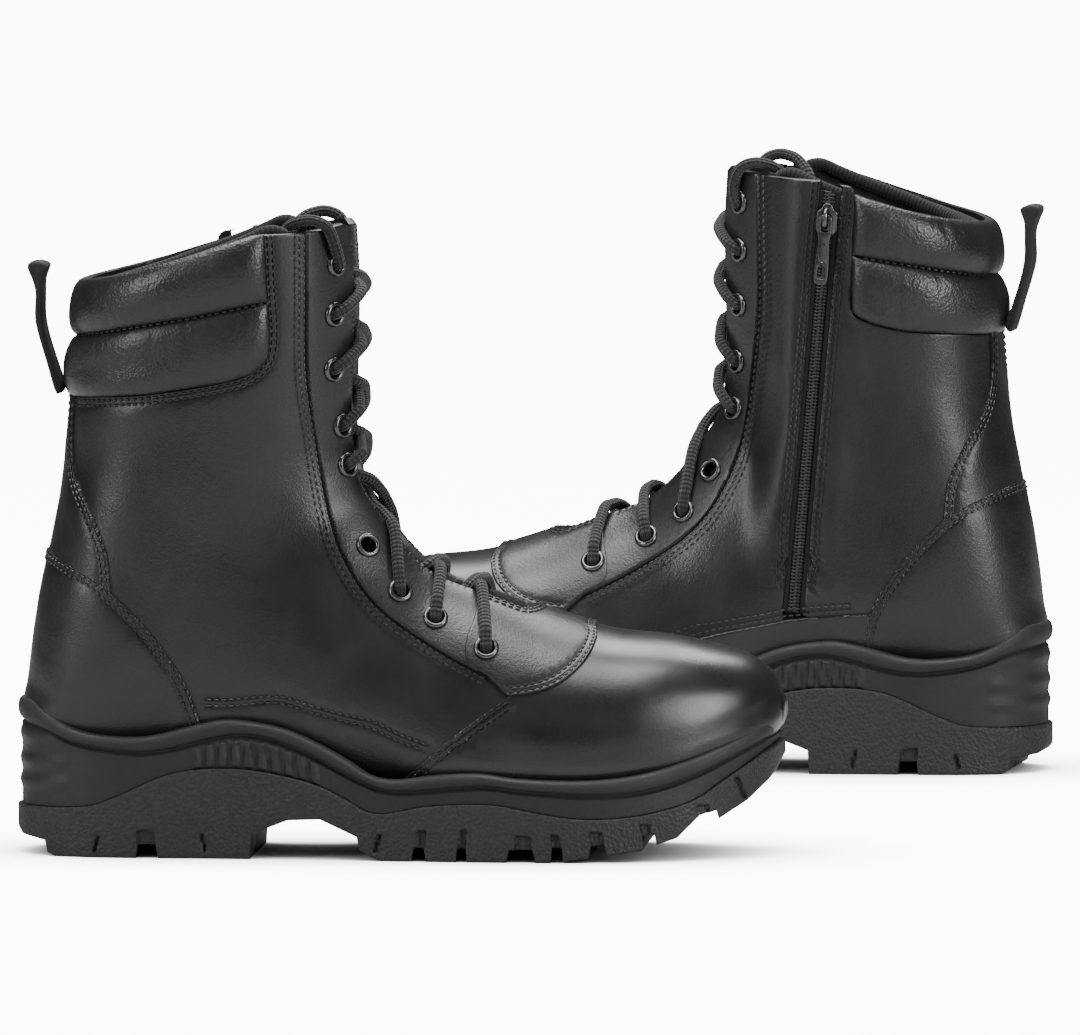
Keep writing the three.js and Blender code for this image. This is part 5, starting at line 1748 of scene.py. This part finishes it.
@dataclass(frozen=True)
class Finish:
    """A material: colours, shine and the fine relief of its surface.

    Attributes:
        name: The material's name.
        slot: The record's material slot; it is not used.
        pattern: Kind of relief.
        dark: Colour in the low places.
        light: Colour in the high places.
        roughness: Middle roughness.
        spread: How far the roughness varies.
        depth: Height of the relief in metres.
        scale: Size of the relief, one for its usual size.
        metallic: Share of metal.
        coat: Weight of a clear finish.
        sheen: Weight of fibre sheen.
        specular: Strength of the surface's own reflection.
    """

    name: str
    slot: str
    pattern: Pattern
    dark: tuple[float, float, float]
    light: tuple[float, float, float]
    roughness: float
    spread: float = 0.08
    depth: float = 0.0001
    scale: float = 1.0
    metallic: float = 0.0
    coat: float = 0.0
    sheen: float = 0.0
    specular: float = 0.5

    def build(self) -> bpy.types.Material:
        """Makes the material.

        Returns:
            The material.
        """
        material = bpy.data.materials.new(self.name)
        material.use_nodes = True
        nodes, links = material.node_tree.nodes, material.node_tree.links
        shader = nodes["Principled BSDF"]
        shader.inputs["Metallic"].default_value = self.metallic
        shader.inputs["Coat Weight"].default_value = self.coat
        shader.inputs["Coat Roughness"].default_value = 0.32
        shader.inputs["Sheen Weight"].default_value = self.sheen
        shader.inputs["Sheen Roughness"].default_value = 0.5
        shader.inputs["Specular IOR Level"].default_value = self.specular
        place = nodes.new("ShaderNodeTexCoord")
        height = self.relief(nodes, links, place)
        wear = nodes.new("ShaderNodeTexNoise")
        wear.inputs["Scale"].default_value = 46.0
        wear.inputs["Detail"].default_value = 5.0
        links.new(place.outputs["Object"], wear.inputs["Vector"])
        mix = nodes.new("ShaderNodeMix")
        mix.data_type = "RGBA"
        mix.inputs["A"].default_value = (*self.dark, 1)
        mix.inputs["B"].default_value = (*self.light, 1)
        blend = self.added(nodes, links, [(height, 0.6), (wear.outputs["Fac"], 0.4)])
        links.new(blend, mix.inputs["Factor"])
        links.new(mix.outputs["Result"], shader.inputs["Base Color"])
        shine = nodes.new("ShaderNodeMapRange")
        shine.inputs["From Min"].default_value = 0.3
        shine.inputs["From Max"].default_value = 0.7
        shine.inputs["To Min"].default_value = max(0.05, self.roughness - self.spread)
        shine.inputs["To Max"].default_value = min(1.0, self.roughness + self.spread)
        links.new(wear.outputs["Fac"], shine.inputs["Value"])
        links.new(shine.outputs["Result"], shader.inputs["Roughness"])
        bump = nodes.new("ShaderNodeBump")
        bump.inputs["Strength"].default_value = 1.0
        bump.inputs["Distance"].default_value = self.depth
        links.new(height, bump.inputs["Height"])
        links.new(bump.outputs["Normal"], shader.inputs["Normal"])
        return material

    @staticmethod
    def math(nodes, links, operation: str, first, second: float) -> bpy.types.Node:
        """Adds a node of arithmetic.

        Args:
            nodes: The material's nodes.
            links: The material's links.
            operation: Name of the operation.
            first: Socket of the first value.
            second: The second value.

        Returns:
            The node.
        """
        node = nodes.new("ShaderNodeMath")
        node.operation = operation
        links.new(first, node.inputs[0])
        node.inputs[1].default_value = second
        return node

    def texture(self, nodes, links, place, kind: str, scale: float, output: str,
                **values) -> bpy.types.NodeSocket:
        """Adds one texture in the object's own coordinates.

        Args:
            nodes: The material's nodes.
            links: The material's links.
            place: The coordinates' node.
            kind: Type of the texture node.
            scale: Its scale.
            output: Name of the output read.
            values: Other inputs.

        Returns:
            The output.
        """
        node = nodes.new(kind)
        node.inputs["Scale"].default_value = scale / self.scale
        for key, value in values.items():
            node.inputs[key].default_value = value
        links.new(place.outputs["Object"], node.inputs["Vector"])
        return node.outputs[output]

    def added(self, nodes, links, parts: list[tuple[bpy.types.NodeSocket, float]]) -> bpy.types.NodeSocket:
        """Adds up shares of several values.

        Args:
            nodes: The material's nodes.
            links: The material's links.
            parts: Each value and its share.

        Returns:
            The sum.
        """
        total = None
        for socket, share in parts:
            node = nodes.new("ShaderNodeMath")
            node.operation = "MULTIPLY_ADD"
            links.new(socket, node.inputs[0])
            node.inputs[1].default_value = share
            node.inputs[2].default_value = 0.0
            if total is not None:
                links.new(total, node.inputs[2])
            total = node.outputs[0]
        return total

    def waves(self, nodes, links, place, turns: list[tuple[float, float, float]]) -> bpy.types.NodeSocket:
        """Multiplies sine waves in the flat coordinates of the piece.

        Args:
            nodes: The material's nodes.
            links: The material's links.
            place: The coordinates' node.
            turns: Radians for each unit of the two flat coordinates, and the start, of every wave.

        Returns:
            The product, from -1 to 1.
        """
        split = nodes.new("ShaderNodeSeparateXYZ")
        links.new(place.outputs["UV"], split.inputs[0])
        product = None
        for along, across, begin in turns:
            part = self.added(nodes, links, [(split.outputs["X"], along), (split.outputs["Y"], across)])
            wave = self.math(nodes, links, "SINE", self.math(nodes, links, "ADD", part, begin).outputs[0], 0)
            if product is None:
                product = wave.outputs[0]
                continue
            node = nodes.new("ShaderNodeMath")
            node.operation = "MULTIPLY"
            links.new(product, node.inputs[0])
            links.new(wave.outputs[0], node.inputs[1])
            product = node.outputs[0]
        return product

    def relief(self, nodes, links, place) -> bpy.types.NodeSocket:
        """Makes the height of the surface's relief.

        Args:
            nodes: The material's nodes.
            links: The material's links.
            place: The coordinates' node.

        Returns:
            Heights from about 0 to 1.
        """
        def noise(scale: float, detail: float = 4.0) -> bpy.types.NodeSocket:
            """Adds cloudy noise of one scale."""
            return self.texture(nodes, links, place, "ShaderNodeTexNoise", scale, "Fac", Detail=detail)

        def cells(scale: float) -> bpy.types.NodeSocket:
            """Adds grain cells of one scale."""
            return self.texture(nodes, links, place, "ShaderNodeTexVoronoi", scale, "Distance")

        def waves(*turns: tuple[float, float, float]) -> bpy.types.NodeSocket:
            """Adds ribs along the given directions."""
            return self.waves(nodes, links, place, list(turns))

        turn = 10 * math.pi
        if self.pattern is Pattern.GRAIN:
            layers = [(cells(1150), 0.45), (noise(520, 6), 0.5), (noise(130, 3), 0.75)]
        elif self.pattern is Pattern.RUBBER:
            layers = [(noise(1400, 5), 0.6), (cells(900), 0.4), (noise(160), 0.3)]
        elif self.pattern is Pattern.DOTS:
            layers = [(cells(720), 0.9), (noise(1500), 0.3)]
        elif self.pattern is Pattern.WEAVE:
            layers = [(waves((5.2, 0, 0), (0, 5.2, 0)), 0.5), (noise(1800), 0.4)]
        elif self.pattern is Pattern.RIBS:
            layers = [(waves((3.6, 0, 0)), 0.4), (waves((7.2, 0, 0), (0, 5.6, 0)), 0.2), (noise(1600), 0.3)]
        elif self.pattern is Pattern.BRAID:
            layers = [(waves((1.7, turn, 0), (1.7, -turn, 0)), 0.7), (noise(2600), 0.3)]
        else:
            layers = [(noise(900, 3), 0.5), (noise(90), 0.5)]
        return self.added(nodes, links, layers)


def black(low: float, high: float, warm: float = 1.0) -> dict[str, tuple[float, float, float]]:
    """Gives a pair of near-black colours.

    Args:
        low: Brightness of the darker one.
        high: Brightness of the lighter one.
        warm: Share of blue in them.

    Returns:
        The two colours by name.
    """
    return {"dark": (low, low, low * warm), "light": (high, high, high * warm)}


FINISHES = {
    "leather": Finish("smooth leather", "leather_smooth", Pattern.GRAIN, **black(0.006, 0.013, 1.05),
                      roughness=0.37, spread=0.07, depth=0.00013, scale=1.0, coat=0.12),
    "toe_leather": Finish("polished toe leather", "leather_smooth", Pattern.GRAIN,
                          **black(0.006, 0.012, 1.05), roughness=0.31, spread=0.06, depth=0.00004,
                          scale=0.9, coat=0.2),
    "soft_leather": Finish("soft grained leather", "leather_soft", Pattern.GRAIN, **black(0.006, 0.014, 1.05),
                           roughness=0.38, spread=0.08, depth=0.0003, scale=1.2, coat=0.1),
    "thread": Finish("bonded thread", "leather_smooth", Pattern.METAL, **black(0.010, 0.03), roughness=0.4,
                     depth=0.00002),
    "bead": Finish("grained rubber", "midsole", Pattern.RUBBER, **black(0.006, 0.013), roughness=0.62,
                   spread=0.1, depth=0.00016),
    "outsole": Finish("dotted rubber", "rubber_sole", Pattern.DOTS, **black(0.004, 0.020), roughness=0.6,
                      spread=0.1, depth=0.00045),
    "textile": Finish("ribbed textile", "textile", Pattern.RIBS, **black(0.006, 0.022), roughness=0.9,
                      spread=0.05, depth=0.00035, sheen=0.15, specular=0.25),
    "tape": Finish("zip tape", "textile", Pattern.WEAVE, **black(0.003, 0.009), roughness=0.85, spread=0.05,
                   depth=0.0002, sheen=0.1, specular=0.3),
    "lining": Finish("mesh lining", "lining", Pattern.WEAVE, **black(0.008, 0.028), roughness=0.92,
                     spread=0.04, depth=0.0003, sheen=0.2, specular=0.25),
    "footbed": Finish("footbed cover", "footbed", Pattern.WEAVE, **black(0.01, 0.03), roughness=0.92,
                      spread=0.04, depth=0.0003, sheen=0.2, specular=0.25),
    "webbing": Finish("ribbed webbing", "webbing", Pattern.WEAVE, **black(0.005, 0.018), roughness=0.75,
                      spread=0.06, depth=0.00015, sheen=0.1, specular=0.35),
    "lace": Finish("braided lace", "lace_cord", Pattern.BRAID, **black(0.005, 0.022, 0.97), roughness=0.7,
                   spread=0.06, depth=0.0006, sheen=0.15, specular=0.35),
    "eyelet": Finish("black enamel", "eyelet_metal", Pattern.METAL, **black(0.07, 0.12), roughness=0.22,
                     spread=0.05, depth=0.00001, metallic=0.9, coat=0.5),
    "slider": Finish("gunmetal", "zip_metal", Pattern.METAL, **black(0.09, 0.17, 1.03), roughness=0.3,
                     spread=0.08, depth=0.00002, metallic=1.0),
    "coil": Finish("coil filament", "zip_coil", Pattern.METAL, **black(0.014, 0.03), roughness=0.35,
                   spread=0.06, depth=0.00002),
    "board": Finish("fibre board", "board", Pattern.RUBBER, (0.16, 0.11, 0.07), (0.36, 0.27, 0.19),
                    roughness=0.9),
    "steel": Finish("plain steel", "steel", Pattern.METAL, (0.4, 0.41, 0.43), (0.6, 0.61, 0.63),
                    roughness=0.35, metallic=1.0),
}


@dataclass(frozen=True)
class Placement:
    """Where a boot stands.

    Attributes:
        name: The boot's name.
        x: X of its heel, in millimetres, before the pair is centred.
        y: Y of its heel.
        turn: Its turn about the vertical, in degrees.
    """

    name: str
    x: float
    y: float
    turn: float

    def world(self, points: Array) -> Array:
        """Moves points of a boot to their place in the pair, in metres.

        Args:
            points: Points in the boot's own frame, in millimetres.

        Returns:
            The placed points.
        """
        c, s = math.cos(math.radians(self.turn)), math.sin(math.radians(self.turn))
        x, y, z = points.T
        across = c * x - s * y + self.x - PAIR_CENTRE[0]
        along = s * x + c * y + self.y - PAIR_CENTRE[1]
        return np.stack([across, along, z], axis=1) * MM


PAIR_CENTRE = (212.17877, 213.96383)
BOOTS = (Placement("front", 0, 0, -4), Placement("rear", 424, 408, 171))


@dataclass
class Piece:
    """One shown piece of a boot: its mesh, finish, body and the solids it stands for.

    Attributes:
        body: Its mesh.
        finish: Name of its finish.
        nodes: Names of the solids it replaces, without the boot's name.
        rides: Name of the body it moves with, without the boot's name.
        fill: How full it is, if it is padded; it is not used.
        smooth: Angle in degrees over which its edges are sharp.
    """

    body: Body
    finish: str
    nodes: tuple[str, ...] = ()
    rides: str = "boot"
    fill: float | None = None
    smooth: float = 40.0


@dataclass
class Boots:
    """Builds the two boots and dresses the frame with them."""

    finishes: dict[str, bpy.types.Material] = field(default_factory=dict)

    def pieces(self) -> dict[str, Piece]:
        """Builds every piece of one boot.

        Returns:
            The pieces by name.
        """
        upper, lacing, softs, sole, side_zip = Upper().build(), Lacing(), Softs(), Sole(), Zip()
        made = {
            "vamp": Piece(upper["vamp"], "toe_leather", ("vamp",)),
            "stitching": Piece(upper["stitching"], "thread"),
        }
        for name in ("outer_quarter", "inner_front_quarter", "inner_rear_quarter", "inner_foxing",
                     "heel_counter", "back_stay", "outer_facing", "inner_facing", "apron"):
            made[name] = Piece(upper[name], "leather", (name,))
        made["upper_roll"] = Piece(softs.roll(COLLAR_PINCH, COLLAR_TOP, 7, 1.0), "soft_leather",
                                   ("collar_upper_roll",), fill=0.75)
        made["lower_roll"] = Piece(softs.roll(COLLAR_BOTTOM, COLLAR_PINCH, 11, 0.85), "soft_leather",
                                   ("collar_lower_roll",), fill=0.7)
        made["tongue"] = Piece(softs.tongue(), "textile", ("tongue",), fill=0.4)
        made["lining"] = Piece(softs.lining(), "lining", ("lining",))
        made["lining_edge"] = Piece(softs.lining_edge(), "textile", fill=0.7)
        made["footbed"] = Piece(softs.footbed(), "footbed", ("footbed",))
        made["pull_loop"] = Piece(softs.pull_loop(), "webbing", ("pull_loop",), rides="loop")
        made["lace"] = Piece(lacing.lace(), "lace", ("lace",), smooth=80)
        made["outer_eyelets"] = Piece(lacing.eyelets(Side.OUTER), "eyelet", ("outer_eyelets",), smooth=60)
        made["inner_eyelets"] = Piece(lacing.eyelets(Side.INNER), "eyelet", ("inner_eyelets",), smooth=60)
        made["midsole"] = Piece(sole.midsole(), "bead", ("midsole",))
        made["outsole"] = Piece(sole.outsole(), "outsole", ("outsole",), smooth=35)
        made["zip_tape_front"] = Piece(side_zip.tape(1), "tape", ("zip_tape_front",))
        made["zip_tape_rear"] = Piece(side_zip.tape(-1), "tape", ("zip_tape_rear",))
        made["zip_coil"] = Piece(side_zip.coil(), "coil", ("zip_coil",), smooth=80)
        made["zip_slider"] = Piece(side_zip.slider(), "slider", ("zip_slider",), rides="slider")
        made["zip_puller"] = Piece(side_zip.puller(), "slider", ("zip_puller",), rides="puller")
        return made

    def show(self, boot: Placement, name: str, piece: Piece) -> bpy.types.Object:
        """Puts a piece of a boot into the scene.

        Args:
            boot: The boot's place.
            name: The piece's name.
            piece: The piece.

        Returns:
            The object.
        """
        mesh = bpy.data.meshes.new(f"{name}_{boot.name}")
        points = boot.world(np.vstack(piece.body.points))
        mesh.from_pydata(points.tolist(), [], [list(face) for face in piece.body.faces])
        layer = mesh.uv_layers.new(name="flat")
        corner = np.zeros(len(mesh.loops), int)
        mesh.loops.foreach_get("vertex_index", corner)
        layer.data.foreach_set("uv", np.vstack(piece.body.maps)[corner].ravel())
        mesh.validate()
        mesh.shade_smooth()
        mesh.set_sharp_from_angle(angle=math.radians(piece.smooth))
        mesh.materials.append(self.finishes[piece.finish])
        shown = bpy.data.objects.new(f"{name}_{boot.name}", mesh)
        bpy.context.scene.collection.objects.link(shown)
        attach(shown, f"{boot.name}_{piece.rides}")
        if piece.nodes:
            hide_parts(*(f"{boot.name}_{node}" for node in piece.nodes))
        return shown

    def build(self) -> None:
        """Builds both boots and gives the hidden stiffeners their finish."""
        self.finishes = {name: finish.build() for name, finish in FINISHES.items()}
        made = self.pieces()
        for boot in BOOTS:
            for name, piece in made.items():
                shown = self.show(boot, name, piece)
                LOG.info("placed %s: %d faces", shown.name, len(shown.data.polygons))
            for node, finish in (("shank", "steel"), ("toe_cap", "steel"), ("insole_board", "board"),
                                 ("heel_stiffener", "board")):
                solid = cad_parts[f"{boot.name}_{node}"]
                solid.data.materials.clear()
                solid.data.materials.append(self.finishes[finish])


@dataclass
class Studio:
    """The camera, the lights and the pale floor.

    Attributes:
        target: The point the camera looks at, in metres.
        distance: Distance from the camera to it.
        elevation: Height angle of the camera in degrees.
        width: Width of the view at the target.
        floor_glow: Extra brightness of the floor where it is seen directly.
        backdrop: Brightness of what is seen behind the floor.
        room: Brightness of the room around the boots.
    """

    target: tuple[float, float, float] = (-0.0027, -0.2286, 0.1343)
    distance: float = 9.4
    elevation: float = 3.9
    width: float = 0.432
    floor_glow: float = 11.0
    backdrop: float = 14.0
    room: float = 0.05

    def camera(self) -> None:
        """Makes the camera and sets it."""
        data = bpy.data.cameras.new("camera")
        data.lens = data.sensor_width * self.distance / self.width
        data.clip_end = 60
        camera = bpy.data.objects.new("camera", data)
        angle = math.radians(self.elevation)
        offset = Vector((0, -math.cos(angle), math.sin(angle))) * self.distance
        camera.location = Vector(self.target) + offset
        camera.rotation_euler = (-offset).to_track_quat("-Z", "Y").to_euler()
        bpy.context.scene.collection.objects.link(camera)
        bpy.context.scene.camera = camera

    @staticmethod
    def light(name: str, where: tuple[float, float, float], size: tuple[float, float], power: float) -> None:
        """Adds a soft rectangular light turned to the boots.

        Args:
            name: The light's name.
            where: Its place.
            size: Its width and height.
            power: Its power in watts.
        """
        data = bpy.data.lights.new(name, "AREA")
        data.shape = "RECTANGLE"
        data.size, data.size_y = size
        data.energy = power
        lamp = bpy.data.objects.new(name, data)
        lamp.location = where
        lamp.rotation_euler = (Vector((0, 0, 0.12)) - Vector(where)).to_track_quat("-Z", "Y").to_euler()
        bpy.context.scene.collection.objects.link(lamp)

    def build(self) -> None:
        """Makes the floor, the world and the lights."""
        data = bpy.data.meshes.new("floor")
        size = 14.0
        data.from_pydata([(-size, -size, 0), (size, -size, 0), (size, size, 0), (-size, size, 0)], [],
                         [(0, 1, 2, 3)])
        paint = Finish("pale floor", "", Pattern.METAL, (0.5, 0.5, 0.5), (0.54, 0.54, 0.54), roughness=0.9,
                       depth=0.00001, specular=0.1).build()
        shader = paint.node_tree.nodes["Principled BSDF"]
        shader.inputs["Emission Color"].default_value = (1, 1, 1, 1)
        self.seen_only(paint.node_tree, shader.inputs["Emission Strength"], self.floor_glow, 0.0)
        # Painted contact shadow: the floor's glow is dimmed under the soles.
        self.paint_contact_shadow(paint.node_tree, shader.inputs["Emission Strength"])
        data.materials.append(paint)
        floor = bpy.data.objects.new("floor", data)
        bpy.context.scene.collection.objects.link(floor)
        world = bpy.data.worlds.new("studio")
        world.use_nodes = True
        background = world.node_tree.nodes["Background"]
        background.inputs["Color"].default_value = (1.0, 1.0, 1.0, 1)
        self.seen_only(world.node_tree, background.inputs["Strength"], self.backdrop, self.room)
        bpy.context.scene.world = world
        self.light("top softbox", (-0.2, -0.35, 2.1), (1.5, 1.2), 62)
        self.light("rear softbox", (0.1, 1.0, 1.9), (1.6, 0.9), 44)
        self.light("left softbox", (-2.2, -1.6, 1.2), (0.7, 1.5), 34)
        self.light("right softbox", (2.1, -1.9, 1.1), (0.7, 1.5), 56)
        self.light("front fill", (0.3, -5.2, 2.4), (3.0, 1.6), 4)

    @staticmethod
    def paint_contact_shadow(tree: bpy.types.NodeTree, socket: bpy.types.NodeSocket) -> None:
        """Paints a contact shadow into the floor's glow: weakens the glow close under the soles, where they
        touch the floor.

        Args:
            tree: The floor's node tree.
            socket: The glow's strength.
        """
        # Painted shadow: ambient occlusion dims the floor's glow where the soles stand close above it.
        contact_shadow_mask = tree.nodes.new("ShaderNodeAmbientOcclusion")
        contact_shadow_mask.samples = 12
        contact_shadow_mask.inputs["Distance"].default_value = 0.07
        power = tree.nodes.new("ShaderNodeMath")
        power.operation = "POWER"
        tree.links.new(contact_shadow_mask.outputs["AO"], power.inputs[0])
        power.inputs[1].default_value = 2.2
        product = tree.nodes.new("ShaderNodeMath")
        product.operation = "MULTIPLY"
        tree.links.new(socket.links[0].from_socket, product.inputs[0])
        tree.links.new(power.outputs[0], product.inputs[1])
        tree.links.new(product.outputs[0], socket)

    @staticmethod
    def seen_only(tree: bpy.types.NodeTree, socket: bpy.types.NodeSocket, seen: float, other: float) -> None:
        """Gives a strength one value where the camera sees it and another for the light it sends.

        Args:
            tree: The node tree.
            socket: The strength.
            seen: Its value for what is seen directly.
            other: Its value for everything else.
        """
        path = tree.nodes.new("ShaderNodeLightPath")
        node = tree.nodes.new("ShaderNodeMath")
        node.operation = "MULTIPLY_ADD"
        tree.links.new(path.outputs["Is Camera Ray"], node.inputs[0])
        node.inputs[1].default_value = seen - other
        node.inputs[2].default_value = other
        tree.links.new(node.outputs[0], socket)


def main() -> None:
    """Builds the camera, the boots and the studio in order."""
    logging.basicConfig(level=logging.INFO)
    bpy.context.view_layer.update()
    studio = Studio()
    studio.camera()
    Boots().build()
    studio.build()


if __name__ == "__main__":
    main()
